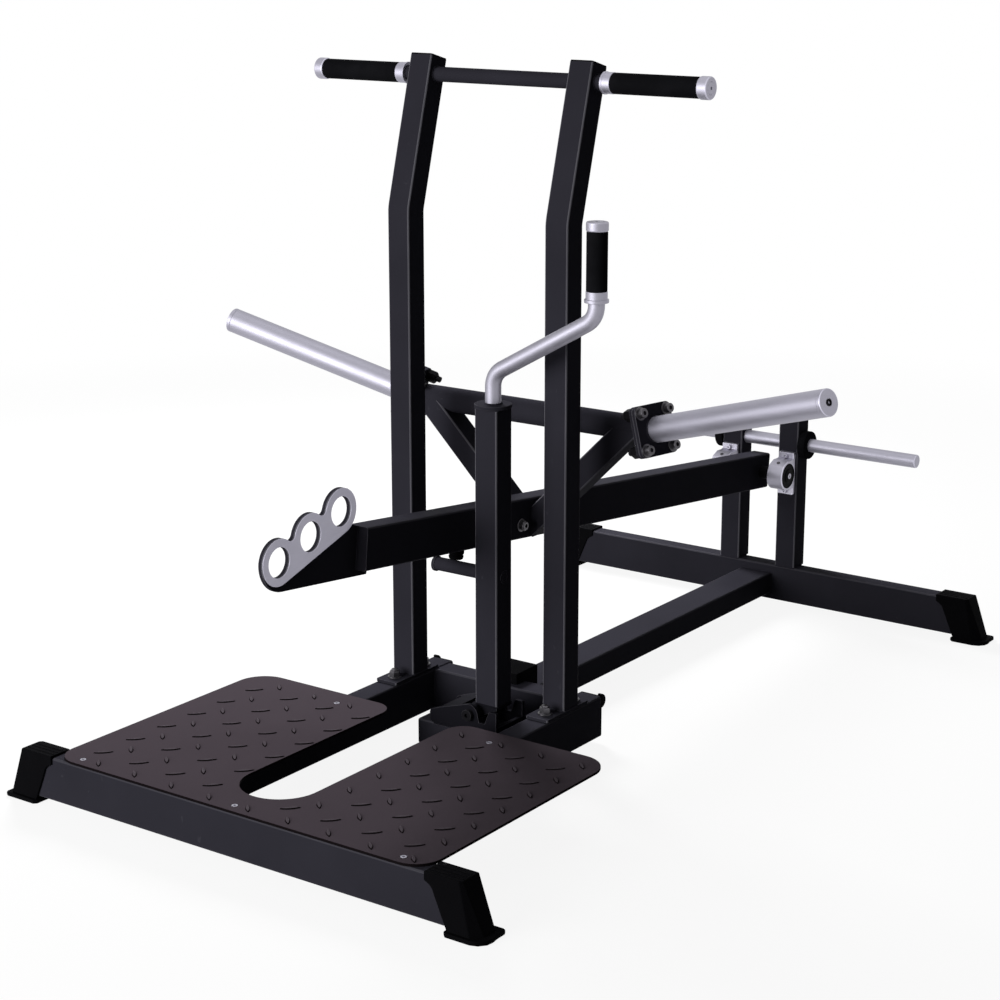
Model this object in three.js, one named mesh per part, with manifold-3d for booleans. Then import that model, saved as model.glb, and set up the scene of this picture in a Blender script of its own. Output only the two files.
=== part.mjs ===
// Plate-loaded belt squat machine: floor frame and foot plate, tall handles, a long weight lever
// with two plate horns, and a support post that is swung sideways by a crank handle.
// Millimetres, +X across the machine, +Y from the foot plate to the lever's pivot, +Z up.
// The origin lies on the floor in the middle of the machine's length and width.

import * as THREE from 'three';
import { mergeVertices } from 'three/addons/utils/BufferGeometryUtils.js';
import Module from 'manifold-3d';

const wasm = await Module();
wasm.setup();

// Overall size and clearances
const length = 1898;
const front = -length / 2;
const rear = length / 2;
const gap = 0.3;
const overrun = 20;
const sides = [
  { name: 'left', sign: -1 },
  { name: 'right', sign: 1 },
];
const cornerSteps = 2;
const roundSteps = 16;
const fineSteps = 20;
const boltSteps = 8;

// Finishes
function finish(color, roughness, metalness) {
  return new THREE.MeshStandardMaterial({ color, roughness, metalness });
}
const coated = finish(0x2b2930, 0.42, 0.35);
const treaded = finish(0x2c2628, 0.5, 0.35);
const satin = finish(0xc9c7d2, 0.3, 0.9);
const rubber = finish(0x121214, 0.85, 0);
const plastic = finish(0x17171a, 0.6, 0);
const blackened = finish(0x1d1c20, 0.4, 0.7);

// Shapes and solids that several pieces share
const xAxis = new THREE.Vector3(1, 0, 0);
const yAxis = new THREE.Vector3(0, 1, 0);
const zAxis = new THREE.Vector3(0, 0, 1);
const planes = {
  x: new THREE.Matrix4().makeBasis(yAxis, zAxis, xAxis),
  y: new THREE.Matrix4().makeBasis(xAxis, zAxis, yAxis.clone().negate()),
  z: new THREE.Matrix4(),
};
const turns = {
  x: new THREE.Matrix4().makeBasis(zAxis, xAxis, yAxis),
  y: new THREE.Matrix4(),
  z: new THREE.Matrix4().makeBasis(yAxis, zAxis, xAxis),
};

function polygon(points) {
  return new THREE.Shape(points.map(([u, v]) => new THREE.Vector2(u, v)));
}

function roundedRectangle(width, height, radius, shape = new THREE.Shape()) {
  const u = width / 2;
  const v = height / 2;
  shape.moveTo(u - radius, -v);
  shape.absarc(u - radius, radius - v, radius, -Math.PI / 2, 0);
  shape.absarc(u - radius, v - radius, radius, 0, Math.PI / 2);
  shape.absarc(radius - u, v - radius, radius, Math.PI / 2, Math.PI);
  shape.absarc(radius - u, radius - v, radius, Math.PI, 1.5 * Math.PI);
  shape.closePath();
  return shape;
}

// A shape in the plane across an axis, thickened equally to both sides of that plane.
function slab(shape, thickness, axis, edge = 0, steps = cornerSteps) {
  const depth = thickness - 2 * edge;
  const geometry = new THREE.ExtrudeGeometry(shape, {
    depth,
    curveSegments: steps,
    bevelEnabled: edge > 0,
    bevelThickness: edge,
    bevelSize: edge,
    bevelOffset: -edge,
    bevelSegments: cornerSteps,
  });
  geometry.translate(0, 0, -depth / 2);
  return geometry.applyMatrix4(planes[axis]);
}

// A profile of [radius, distance] points turned about an axis through the origin.
function turned(points, axis, steps = roundSteps) {
  const profile = points.map(([radius, distance]) => new THREE.Vector2(radius, distance));
  return new THREE.LatheGeometry(profile, steps).applyMatrix4(turns[axis]);
}

function rod(radius, from, to, axis, edge = 0, steps = roundSteps) {
  const points = [
    [0, from],
    [radius - edge, from],
    [radius, from + edge],
    [radius, to - edge],
    [radius - edge, to],
    [0, to],
  ];
  return turned(edge > 0 ? points : [points[0], points[1], points[4], points[5]], axis, steps);
}

function pipe(radius, bore, from, to, axis, steps = roundSteps) {
  const points = [[bore, from], [radius, from], [radius, to], [bore, to], [bore, from]];
  return turned(points, axis, steps);
}

function squareTube(section, reach, axis) {
  const shape = roundedRectangle(section.width, section.height, section.corner);
  const inner = section.corner - section.wall / 2;
  const core = [section.width - 2 * section.wall, section.height - 2 * section.wall];
  shape.holes.push(roundedRectangle(core[0], core[1], inner, new THREE.Path()));
  return slab(shape, reach, axis);
}

function block(from, to) {
  const size = to.map((value, k) => value - from[k]);
  const geometry = new THREE.BoxGeometry(size[0], size[1], size[2]);
  return geometry.translate(from[0] + size[0] / 2, from[1] + size[1] / 2, from[2] + size[2] / 2);
}

function solid(geometry) {
  const bare = geometry.clone();
  bare.deleteAttribute('normal');
  bare.deleteAttribute('uv');
  const merged = mergeVertices(bare);
  return new wasm.Manifold(new wasm.Mesh({
    numProp: 3,
    vertProperties: merged.attributes.position.array,
    triVerts: new Uint32Array(merged.index.array),
  }));
}

function surface(manifold) {
  const mesh = manifold.getMesh();
  const geometry = new THREE.BufferGeometry();
  geometry.setAttribute('position', new THREE.BufferAttribute(mesh.vertProperties, 3));
  geometry.setIndex(new THREE.BufferAttribute(mesh.triVerts, 1));
  const loose = geometry.toNonIndexed();
  loose.computeVertexNormals();
  return loose;
}

function cut(geometry, ...tools) {
  return surface(tools.reduce((left, tool) => left.subtract(solid(tool)), solid(geometry)));
}

function joined(...geometries) {
  const [first, ...others] = geometries.map(solid);
  return surface(others.reduce((whole, other) => whole.add(other), first));
}

function piece(parent, name, geometry, material, place = [0, 0, 0]) {
  const mesh = new THREE.Mesh(geometry, material);
  mesh.name = name;
  mesh.position.set(...place);
  parent.add(mesh);
  return mesh;
}

const machine = new THREE.Group();

// Floor frame: two cross beams on feet, two rails under the foot plate, one beam along the middle
const crossBeam = { width: 40, height: 84, wall: 3, corner: 5 };
const rail = { width: 50, height: 84, wall: 3, corner: 5 };
const midBeam = { width: 50, height: 84, wall: 3, corner: 5 };
const centerBeam = { width: 80, height: 50, wall: 3, corner: 5 };
const frameBottom = 12;
const frameTop = frameBottom + crossBeam.height;
const frontInset = 31;
const rearInset = 39;
const frontBeamY = front + frontInset;
const rearBeamY = rear - rearInset;
const frontBeamReach = 485;
const rearBeamReach = 520;
const railX = 180;
const railFront = frontBeamY + crossBeam.width / 2;
const railLength = 805;
const railRear = railFront + railLength;
const midBeamInset = 33;
const midBeamY = railRear - midBeamInset;
const centerBeamBottom = 27;
const centerBeamTop = centerBeamBottom + centerBeam.height;
const beamZ = frameBottom + crossBeam.height / 2;

// Countersunk screws hold the foot plate and bolts hold the uprights' base plates. Each is joined to
// the beam or rail that it is driven into.
const plate = {
  halfWidth: 418,
  setBack: 9.5,
  depth: 558.5,
  thickness: 5,
  cornerRadius: 50,
  rearCornerRadius: 58,
  lobeRadius: 40,
  slotHalfWidth: 75,
  slotFromFront: 145.5,
};
const plateFrontY = front + plate.setBack;
const plateRearY = plateFrontY + plate.depth;
const screw = { headRadius: 9, shankRadius: 4.5, hex: 3, hexDepth: 3, sideInset: 55, rearInset: 48 };
const screwRowY = plateRearY - screw.rearInset;
const uprightSetBack = 727;
const uprightSide = 50;
const uprightFrontY = front + uprightSetBack;
const basePlate = { thickness: 6, before: 55, behind: 35, corner: 4 };
const baseFrontY = uprightFrontY - basePlate.before;
const baseRearY = uprightFrontY + uprightSide + basePlate.behind;
const baseBolt = { radius: 5, headRadius: 9.5, headHeight: 7, washerRadius: 12, washer: 2 };
const baseBoltYs = [uprightFrontY - basePlate.before / 2, baseRearY - basePlate.behind / 2];
const screwX = plate.halfWidth - screw.sideInset;
const frontScrewXs = [-screwX, 0, screwX];

function countersunkScrew() {
  const slope = screw.headRadius - screw.shankRadius;
  return turned([
    [0, -rail.wall / 2],
    [screw.shankRadius, -rail.wall / 2],
    [screw.shankRadius, plate.thickness - slope],
    [screw.headRadius, plate.thickness],
    [screw.hex, plate.thickness],
    [screw.hex, plate.thickness - screw.hexDepth],
    [0, plate.thickness - screw.hexDepth],
  ], 'z', boltSteps);
}
function hexBolt(bolt, clamped) {
  const shank = rod(bolt.radius, -rail.wall / 2, clamped + bolt.washer, 'z', 0, boltSteps);
  const washer = rod(bolt.washerRadius, clamped, clamped + bolt.washer, 'z', 0, roundSteps);
  const head = rod(bolt.headRadius, clamped, clamped + bolt.washer + bolt.headHeight, 'z', 0, 6);
  return joined(shank, washer, head);
}
const frontScrews = frontScrewXs.map((x) => countersunkScrew().translate(x, 0, crossBeam.height / 2));
const frontBeam = joined(squareTube(crossBeam, 2 * frontBeamReach, 'x'), ...frontScrews);
piece(machine, 'front_cross_beam', frontBeam, coated, [0, frontBeamY, beamZ]);
piece(machine, 'rear_cross_beam', squareTube(crossBeam, 2 * rearBeamReach, 'x'), coated, [0, rearBeamY, beamZ]);
for (const { name, sign } of sides) {
  const middleY = railFront + railLength / 2;
  const railTube = squareTube(rail, railLength, 'y');
  const railScrew = countersunkScrew().translate(0, screwRowY - middleY, rail.height / 2);
  const bolts = baseBoltYs.map((y) => {
    return hexBolt(baseBolt, basePlate.thickness).translate(0, y - middleY, rail.height / 2);
  });
  const railWithBolts = joined(railTube, railScrew, ...bolts);
  piece(machine, `${name}_platform_rail`, railWithBolts, coated, [sign * railX, middleY, beamZ]);
}
const midBeamReach = 2 * railX - rail.width;
piece(machine, 'mid_cross_beam', squareTube(midBeam, midBeamReach, 'x'), coated, [0, midBeamY, beamZ]);

const centerFront = midBeamY + midBeam.width / 2;
const centerRear = rearBeamY - crossBeam.width / 2;
const centerZ = centerBeamBottom + centerBeam.height / 2;
const centerBeamGeometry = squareTube(centerBeam, centerRear - centerFront, 'y');
piece(machine, 'rear_center_beam', centerBeamGeometry, coated, [0, (centerFront + centerRear) / 2, centerZ]);

// Black plugs in the rear ends of the rails, each with a small round ear
const plugThickness = 4;
const plugEar = { radius: 14, width: 10, above: 31 };
const plugRear = railRear + plugThickness;
function railPlug(sign) {
  const plate = slab(roundedRectangle(rail.width, rail.height, rail.corner), plugThickness, 'y');
  plate.translate(0, railRear + plugThickness / 2, beamZ);
  const earX = sign * (rail.width / 2 - plugEar.width / 2);
  const ear = rod(plugEar.radius, -plugEar.width / 2, plugEar.width / 2, 'x', 0, roundSteps);
  ear.translate(earX, plugRear, beamZ + plugEar.above);
  const half = block(
    [-rail.width, railRear - overrun, frameBottom],
    [rail.width, railRear + plugThickness / 2, frameTop],
  );
  return joined(plate, cut(ear, half)).translate(sign * railX, 0, 0);
}
for (const { name, sign } of sides) {
  piece(machine, `${name}_rail_plug`, railPlug(sign), plastic);
}

// Four plastic feet: caps over the beam ends that lean outward onto a wider foot
const beamCover = 4;
const foot = {
  depth: 48,
  topLength: 75,
  top: frameTop + beamCover,
  lean: 34,
  flange: 8,
  lip: 9,
  corner: 5,
  innerLean: 46,
  notchDrop: 16,
  notchStep: 19,
  cover: 11,
  edge: 2,
};
function footGeometry(sign, beamReach) {
  const outerTop = beamReach + foot.cover;
  const innerTop = outerTop - foot.topLength;
  const outerFoot = outerTop + foot.lean;
  const innerFoot = innerTop + foot.innerLean;
  const body = slab(polygon([
    [sign * innerTop, foot.top],
    [sign * outerTop, foot.top],
    [sign * outerFoot, foot.flange / 2],
    [sign * innerFoot, foot.flange / 2],
    [sign * (innerTop + foot.notchStep), foot.top - foot.notchDrop - foot.notchStep],
    [sign * innerTop, foot.top - foot.notchDrop],
  ]), foot.depth, 'y', foot.edge);
  const flangeLength = outerFoot - innerFoot + foot.lip;
  const flangeShape = roundedRectangle(flangeLength, frontInset + rearInset, foot.corner);
  const flange = slab(flangeShape, foot.flange, 'z', 0);
  const flangeY = (rearInset - frontInset) / 2;
  flange.translate(sign * (innerFoot + flangeLength / 2), flangeY, foot.flange / 2);
  const halfDepth = crossBeam.width / 2 + gap;
  const bed = block(
    [Math.min(0, sign * (beamReach + gap)), -halfDepth, frameBottom - gap],
    [Math.max(0, sign * (beamReach + gap)), halfDepth, frameTop + gap],
  );
  return cut(joined(body, flange), bed);
}
const footRows = [
  { row: 'front', y: frontBeamY, reach: frontBeamReach },
  { row: 'rear', y: rearBeamY, reach: rearBeamReach },
];
for (const { row, y, reach } of footRows) {
  for (const { name, sign } of sides) {
    piece(machine, `${row}_${name}_foot`, footGeometry(sign, reach), plastic, [0, y, 0]);
  }
}

// Foot plate with a deep slot from the rear, held by countersunk screws
const plateTop = frameTop + plate.thickness;

function platePlan() {
  const shape = new THREE.Shape();
  const { halfWidth, cornerRadius, rearCornerRadius, lobeRadius, slotHalfWidth } = plate;
  const slotCenterY = plateFrontY + plate.slotFromFront;
  shape.moveTo(cornerRadius - halfWidth, plateFrontY);
  shape.absarc(halfWidth - cornerRadius, plateFrontY + cornerRadius, cornerRadius, -Math.PI / 2, 0);
  const rearCornerX = halfWidth - rearCornerRadius;
  const rearCornerY = plateRearY - rearCornerRadius;
  shape.absarc(rearCornerX, rearCornerY, rearCornerRadius, 0, Math.PI / 2);
  shape.absarc(slotHalfWidth + lobeRadius, plateRearY - lobeRadius, lobeRadius, Math.PI / 2, Math.PI);
  shape.absarc(0, slotCenterY, slotHalfWidth, 0, -Math.PI, true);
  shape.absarc(-slotHalfWidth - lobeRadius, plateRearY - lobeRadius, lobeRadius, 0, Math.PI / 2);
  shape.absarc(-rearCornerX, rearCornerY, rearCornerRadius, Math.PI / 2, Math.PI);
  shape.absarc(cornerRadius - halfWidth, plateFrontY + cornerRadius, cornerRadius, Math.PI, 1.5 * Math.PI);
  shape.closePath();
  return shape;
}
const screwPlaces = [
  ...frontScrewXs.map((x) => [x, frontBeamY]),
  ...sides.map(({ sign }) => [sign * railX, screwRowY]),
];
function countersink() {
  const slope = screw.headRadius - screw.shankRadius;
  return turned([
    [0, -overrun],
    [screw.shankRadius + gap, -overrun],
    [screw.shankRadius + gap, plate.thickness - slope],
    [screw.headRadius + gap, plate.thickness],
    [screw.headRadius + gap, plate.thickness + overrun],
    [0, plate.thickness + overrun],
  ], 'z', boltSteps);
}
const plateSteps = 5;
const plateBlank = slab(platePlan(), plate.thickness, 'z', 0, plateSteps);
plateBlank.translate(0, 0, frameTop + plate.thickness / 2);
const screwHoles = screwPlaces.map(([x, y]) => countersink().translate(x, y, frameTop));
piece(machine, 'foot_plate', cut(plateBlank, ...screwHoles), treaded);

// Uprights: square tubes that stand on bolted plates and lean back at the top
const upright = { wall: 3, corner: 4, bendZ: 1027, topZ: 1305 };
const upperLean = THREE.MathUtils.degToRad(15.2);
const uprightFoot = frameTop + basePlate.thickness;

// The side outline of the bent tube, its faces moved in by an inset and its ends run past by an extra.
function bentOutline(inset, extra) {
  const half = uprightSide / 2 - inset;
  const middleY = uprightFrontY + uprightSide / 2;
  const bend = half * Math.tan(upperLean / 2);
  const centerBendZ = upright.bendZ - uprightSide / 2 * Math.tan(upperLean / 2);
  const run = (upright.topZ - upright.bendZ) / Math.cos(upperLean) + extra;
  const along = [Math.sin(upperLean), Math.cos(upperLean)];
  const across = [Math.cos(upperLean), -Math.sin(upperLean)];
  const tip = [middleY + along[0] * run, centerBendZ + along[1] * run];
  return polygon([
    [middleY - half, uprightFoot - extra],
    [middleY + half, uprightFoot - extra],
    [middleY + half, centerBendZ - bend],
    [tip[0] + across[0] * half, tip[1] + across[1] * half],
    [tip[0] - across[0] * half, tip[1] - across[1] * half],
    [middleY - half, centerBendZ + bend],
  ]);
}
const uprightMiddleY = uprightFrontY + uprightSide / 2;
const centerBendZ = upright.bendZ - uprightSide / 2 * Math.tan(upperLean / 2);
const uprightRun = (upright.topZ - upright.bendZ) / Math.cos(upperLean);
const uprightTip = [
  uprightMiddleY + Math.sin(upperLean) * uprightRun,
  centerBendZ + Math.cos(upperLean) * uprightRun,
];
function tipBlock(offset, thickness) {
  const tool = new THREE.BoxGeometry(2 * uprightSide, 2 * uprightSide, thickness);
  tool.translate(0, 0, offset + thickness / 2);
  tool.rotateX(-upperLean);
  return tool.translate(0, uprightTip[0], uprightTip[1]);
}

// Handle bar through the uprights, with a rubber grip, an inner collar and an end cap on each side
const handle = { radius: 14, belowTop: 34, reach: 420, wall: 2.5 };
const handleZ = upright.topZ - handle.belowTop;
const collar = { from: 221, to: 241, radius: 20.5, lip: 4, bodyRadius: 19.5 };
const grip = { radius: 19, edge: 2 };
const endCap = { radius: 20.5, thickness: 20, edge: 3 };
const handleY = uprightMiddleY + (handleZ - centerBendZ) * Math.tan(upperLean);
const handlePlace = [0, handleY, handleZ];

function uprightGeometry() {
  const outer = slab(bentOutline(0, overrun), uprightSide, 'x', upright.corner);
  const inner = slab(bentOutline(upright.wall, 2 * overrun), uprightSide - 2 * upright.wall, 'x');
  const below = block(
    [-uprightSide, uprightFrontY - overrun, uprightFoot - 3 * overrun],
    [uprightSide, uprightFrontY + uprightSide + overrun, uprightFoot],
  );
  const hole = rod(handle.radius + gap, -uprightSide, uprightSide, 'x');
  hole.translate(0, handleY, handleZ);
  return cut(outer, inner, below, tipBlock(0, 4 * overrun), hole);
}
const plugHeight = 2.5;
for (const { name, sign } of sides) {
  const x = sign * railX;
  const plan = roundedRectangle(rail.width, baseRearY - baseFrontY, basePlate.corner);
  const blank = slab(plan, basePlate.thickness, 'z');
  blank.translate(0, (baseFrontY + baseRearY) / 2, frameTop + basePlate.thickness / 2);
  const holes = baseBoltYs.map((y) => rod(baseBolt.radius + gap, 0, length, 'z', 0, boltSteps).translate(0, y, 0));
  const standing = joined(uprightGeometry(), cut(blank, ...holes));
  piece(machine, `${name}_upright`, standing, coated, [x, 0, 0]);
  const cap = slab(roundedRectangle(uprightSide, uprightSide, upright.corner), plugHeight, 'z');
  cap.translate(0, 0, plugHeight / 2);
  cap.rotateX(-upperLean);
  piece(machine, `${name}_upright_plug`, cap.translate(x, uprightTip[0], uprightTip[1]), plastic);
}

const handleGeometry = pipe(handle.radius, handle.radius - handle.wall, -handle.reach, handle.reach, 'x');
piece(machine, 'handle_bar', handleGeometry, coated, handlePlace);
for (const { name, sign } of sides) {
  const facing = sign > 0 ? 0 : Math.PI;
  const bore = handle.radius + gap;
  const collarGeometry = turned([
    [bore, collar.from],
    [collar.radius, collar.from],
    [collar.radius, collar.from + collar.lip],
    [collar.bodyRadius, collar.from + collar.lip],
    [collar.bodyRadius, collar.to],
    [bore, collar.to],
    [bore, collar.from],
  ], 'x');
  piece(machine, `${name}_grip_collar`, collarGeometry.rotateZ(facing), satin, handlePlace);
  const gripGeometry = turned([
    [bore, collar.to],
    [grip.radius - grip.edge, collar.to],
    [grip.radius, collar.to + grip.edge],
    [grip.radius, handle.reach - grip.edge],
    [grip.radius - grip.edge, handle.reach],
    [bore, handle.reach],
    [bore, collar.to],
  ], 'x');
  piece(machine, `${name}_handle_grip`, gripGeometry.rotateZ(facing), rubber, handlePlace);
  const capGeometry = turned([
    [0, handle.reach],
    [endCap.radius, handle.reach],
    [endCap.radius, handle.reach + endCap.thickness - endCap.edge],
    [endCap.radius - endCap.edge, handle.reach + endCap.thickness],
    [0, handle.reach + endCap.thickness],
  ], 'x');
  piece(machine, `${name}_grip_end_cap`, capGeometry.rotateZ(facing), satin, handlePlace);
}

// Rear posts on the rear beam, the plate storage rod through them and the lever's bearings on them
const post = { width: 50, height: 50, wall: 3, corner: 4, x: 73, topZ: 445 };
const storage = { radius: 15, reach: 382, z: 387, edge: 3 };
const storageCollar = { radius: 32, thickness: 19, edge: 2 };
const pivot = { ahead: 52, z: 323, shaftRadius: 10 };
const pivotY = rearBeamY - pivot.ahead;
const bearing = { width: 38, x: 74, height: 98, base: 10, edge: 1.5, bodyRadius: 33, insertRadius: 28, proud: 1.5 };
const postFront = rearBeamY - crossBeam.width / 2;
const postY = postFront + post.height / 2;
const postLength = post.topZ - frameTop;
for (const { name, sign } of sides) {
  const tube = squareTube(post, postLength, 'z');
  tube.translate(0, 0, frameTop + postLength / 2);
  const hole = rod(storage.radius + gap, -post.width, post.width, 'x').translate(0, 0, storage.z);
  piece(machine, `${name}_rear_post`, cut(tube, hole), coated, [sign * post.x, postY, 0]);
  const cap = slab(roundedRectangle(post.width, post.height, post.corner), plugHeight, 'z');
  const capPlace = [sign * post.x, postY, post.topZ + plugHeight / 2];
  piece(machine, `${name}_rear_post_plug`, cap, plastic, capPlace);
  const from = sign * (post.x + post.width / 2);
  const to = from + sign * storageCollar.thickness;
  const ring = pipe(storageCollar.radius, storage.radius + gap, Math.min(from, to), Math.max(from, to), 'x');
  piece(machine, `${name}_storage_collar`, ring, rubber, [0, postY, storage.z]);
}
const storageGeometry = rod(storage.radius, -storage.reach, storage.reach, 'x', storage.edge);
piece(machine, 'storage_rod', storageGeometry, satin, [0, postY, storage.z]);

function housingGeometry() {
  const stand = postFront - pivotY;
  const body = rod(bearing.bodyRadius, -bearing.width / 2, bearing.width / 2, 'x', bearing.edge);
  const foot = slab(polygon([
    [stand - bearing.base, -bearing.height / 2],
    [stand, -bearing.height / 2],
    [stand, bearing.height / 2],
    [stand - bearing.base, bearing.height / 2],
  ]), bearing.width, 'x', bearing.edge);
  const cheek = block(
    [-bearing.width / 2, 0, -bearing.bodyRadius],
    [bearing.width / 2, stand - bearing.edge, bearing.bodyRadius],
  );
  const behind = block(
    [-bearing.width, stand, -bearing.height],
    [bearing.width, stand + 2 * overrun, bearing.height],
  );
  const bore = rod(bearing.insertRadius + gap, -bearing.width, bearing.width, 'x');
  return cut(joined(body, foot, cheek), behind, bore);
}
const insertReach = bearing.width / 2 + bearing.proud;
for (const { name, sign } of sides) {
  const place = [sign * bearing.x, pivotY, pivot.z];
  piece(machine, `${name}_bearing_housing`, housingGeometry(), satin, place);
  const insert = pipe(bearing.insertRadius, pivot.shaftRadius + gap, -insertReach, insertReach, 'x');
  piece(machine, `${name}_bearing_insert`, insert, blackened, place);
}

// Stub beam and clevis that carry the support post's hinge
const stub = { width: 94, height: 50, wall: 3, corner: 4, end: -59, setBack: 618, bottom: 16 };
const stubTop = stub.bottom + stub.height;
const stubY = front + stub.setBack + stub.width / 2;
const stubRight = railX - rail.width / 2;
const stubReach = stubRight - stub.end;
const hinge = { x: 62, z: 100, bolt: 8, head: 9.5, headHeight: 6, hex: 4, hexDepth: 3, nut: 12.5, nutHeight: 9, proud: 2 };
const stubGeometry = cut(
  slab(roundedRectangle(stub.width, stub.height, stub.corner), stubReach, 'x'),
  slab(
    roundedRectangle(stub.width - 2 * stub.wall, stub.height - 2 * stub.wall, stub.corner / 2),
    stubReach, 'x',
  ).translate(stub.wall, 0, 0),
);
const stubPlace = [stub.end + stubReach / 2, stubY, stub.bottom + stub.height / 2];
piece(machine, 'stub_beam', stubGeometry, coated, stubPlace);

// The clevis outline: a rounded nose, a boss around the hinge, a dip and a stop ear, seen from the front.
const clevis = {
  plate: 8,
  noseX: -31,
  noseZ: 90,
  noseRadius: 9,
  shoulderX: -9,
  shoulderZ: 99.5,
  boss: 20,
  dipX: 89,
  dipZ: 88,
  earFromX: 108,
  earToX: 125,
  earZ: 114,
  webX: 117,
  webZ: 84,
  cover: 5,
  coverFromX: -10,
  coverToX: 36,
};
function clevisOutline() {
  const shape = new THREE.Shape();
  shape.moveTo(clevis.noseX + clevis.noseRadius, stubTop);
  shape.lineTo(clevis.earToX, stubTop);
  shape.lineTo(clevis.earToX, clevis.earZ);
  shape.lineTo(clevis.earFromX, clevis.earZ);
  shape.lineTo(clevis.dipX + clevis.noseRadius, clevis.dipZ);
  shape.lineTo(clevis.dipX, clevis.dipZ);
  shape.absarc(hinge.x, hinge.z, clevis.boss, 0, 0.62 * Math.PI, false);
  shape.lineTo(clevis.shoulderX, clevis.shoulderZ);
  shape.lineTo(clevis.noseX + clevis.noseRadius, clevis.noseZ + clevis.noseRadius / 2);
  shape.absarc(
    clevis.noseX + clevis.noseRadius, clevis.noseZ - clevis.noseRadius / 2, clevis.noseRadius,
    Math.PI / 2, Math.PI, false,
  );
  shape.lineTo(clevis.noseX, stubTop + clevis.noseRadius);
  shape.closePath();
  return shape;
}
function clevisGeometry() {
  const cheeks = [-1, 1].map((sign) => {
    const cheek = slab(clevisOutline(), clevis.plate, 'y', 0, 6);
    return cheek.translate(0, stubY + sign * (stub.width - clevis.plate) / 2, 0);
  });
  const rise = clevis.shoulderZ - clevis.cover;
  const slope = (hinge.z + clevis.boss - clevis.shoulderZ) / (hinge.x - clevis.shoulderX);
  const reach = clevis.coverToX - clevis.coverFromX;
  const cover = slab(polygon([
    [clevis.coverFromX, stubTop],
    [clevis.coverFromX + clevis.cover, stubTop],
    [clevis.coverFromX + clevis.cover, rise],
    [clevis.coverToX, rise + slope * (reach - clevis.cover)],
    [clevis.coverToX, clevis.shoulderZ + slope * (reach - clevis.cover)],
    [clevis.coverFromX, clevis.shoulderZ],
  ]), stub.width - clevis.plate, 'y').translate(0, stubY, 0);
  const web = block(
    [clevis.webX, stubY - stub.width / 2 + clevis.cover, stubTop],
    [clevis.earToX, stubY + stub.width / 2 - clevis.cover, clevis.webZ],
  );
  const bore = rod(hinge.bolt + gap, -length, length, 'y').translate(hinge.x, 0, hinge.z);
  return cut(joined(...cheeks, cover, web), bore);
}
piece(machine, 'hinge_clevis', clevisGeometry(), coated);
const boltGeometry = joined(
  turned([
    [0, -stub.width / 2 - hinge.headHeight + hinge.hexDepth],
    [hinge.hex, -stub.width / 2 - hinge.headHeight + hinge.hexDepth],
    [hinge.hex, -stub.width / 2 - hinge.headHeight],
    [hinge.head, -stub.width / 2 - hinge.headHeight],
    [hinge.head, -stub.width / 2],
    [hinge.bolt, -stub.width / 2],
    [hinge.bolt, stub.width / 2 + hinge.nutHeight],
    [0, stub.width / 2 + hinge.nutHeight],
  ], 'y'),
  rod(hinge.nut, stub.width / 2, stub.width / 2 + hinge.nutHeight - hinge.proud, 'y', 0, 6),
);
piece(machine, 'hinge_bolt', boltGeometry, blackened, [hinge.x, stubY, hinge.z]);

// Rubber block on the middle beam that catches the lever when it is let down
const stop = { halfWidth: 35, before: 34, behind: 39, thickness: 22 };
const stopGeometry = slab(polygon([
  [centerFront - stop.before, frameTop],
  [centerFront + gap, frameTop],
  [centerFront + gap, centerBeamTop],
  [centerFront + stop.behind, centerBeamTop],
  [centerFront + stop.behind, frameTop + stop.thickness],
  [centerFront - stop.before, frameTop + stop.thickness],
]), 2 * stop.halfWidth, 'x');
piece(machine, 'lever_stop_block', stopGeometry, rubber);

// Weight lever: a tall tube that slopes down to its pivot, drawn along its own length from the pivot
const lever = { width: 46, height: 80, wall: 3, corner: 5, setBack: 369, rearReach: 32 };
const leverHalf = lever.height / 2;
const supportSetBack = 665;
const supportY = front + supportSetBack;
const pin = { radius: 13, z: 368, tipX: -44, discRadius: 15, disc: 6, edge: 2, proud: 1 };
const pad = { radius: 15, height: 23.2, edge: 3 };
const restRun = pivotY - supportY;
const restRise = pin.z + pin.radius + pad.height - pivot.z;
const leverSlope = Math.atan2(restRise, restRun) + Math.asin(leverHalf / Math.hypot(restRise, restRun));
const leverReach = (pivotY - front - lever.setBack) / Math.cos(leverSlope);
const arm = new THREE.Group();
arm.position.set(0, pivotY, pivot.z);
arm.rotation.x = -leverSlope;
machine.add(arm);
function leverPoint(y, z) {
  const away = new THREE.Vector2(y - pivotY, z - pivot.z);
  away.rotateAround(new THREE.Vector2(0, 0), leverSlope);
  return [away.x, away.y];
}
const leverLength = leverReach + lever.rearReach;
const leverTube = squareTube(lever, leverLength, 'y').translate(0, (lever.rearReach - leverReach) / 2, 0);
const pivotBore = rod(pivot.shaftRadius + gap, -lever.width, lever.width, 'x');
const sideBolt = { ahead: 967, below: 11.3, radius: 8, height: 9, washerRadius: 10.5, washer: 2 };
const boltSeat = lever.width / 2;
const boltHead = joined(
  rod(sideBolt.washerRadius, boltSeat - lever.wall / 2, boltSeat + sideBolt.washer, 'x', 0, boltSteps),
  rod(sideBolt.radius, boltSeat, boltSeat + sideBolt.washer + sideBolt.height, 'x', 0, boltSteps),
).translate(0, -sideBolt.ahead, -sideBolt.below);
piece(arm, 'lever_beam', joined(cut(leverTube, pivotBore), boltHead), coated);
const rearPlug = slab(roundedRectangle(lever.width, lever.height, lever.corner), plugThickness, 'y');
piece(arm, 'lever_rear_plug', rearPlug, plastic, [0, lever.rearReach + gap + plugThickness / 2, 0]);

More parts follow.
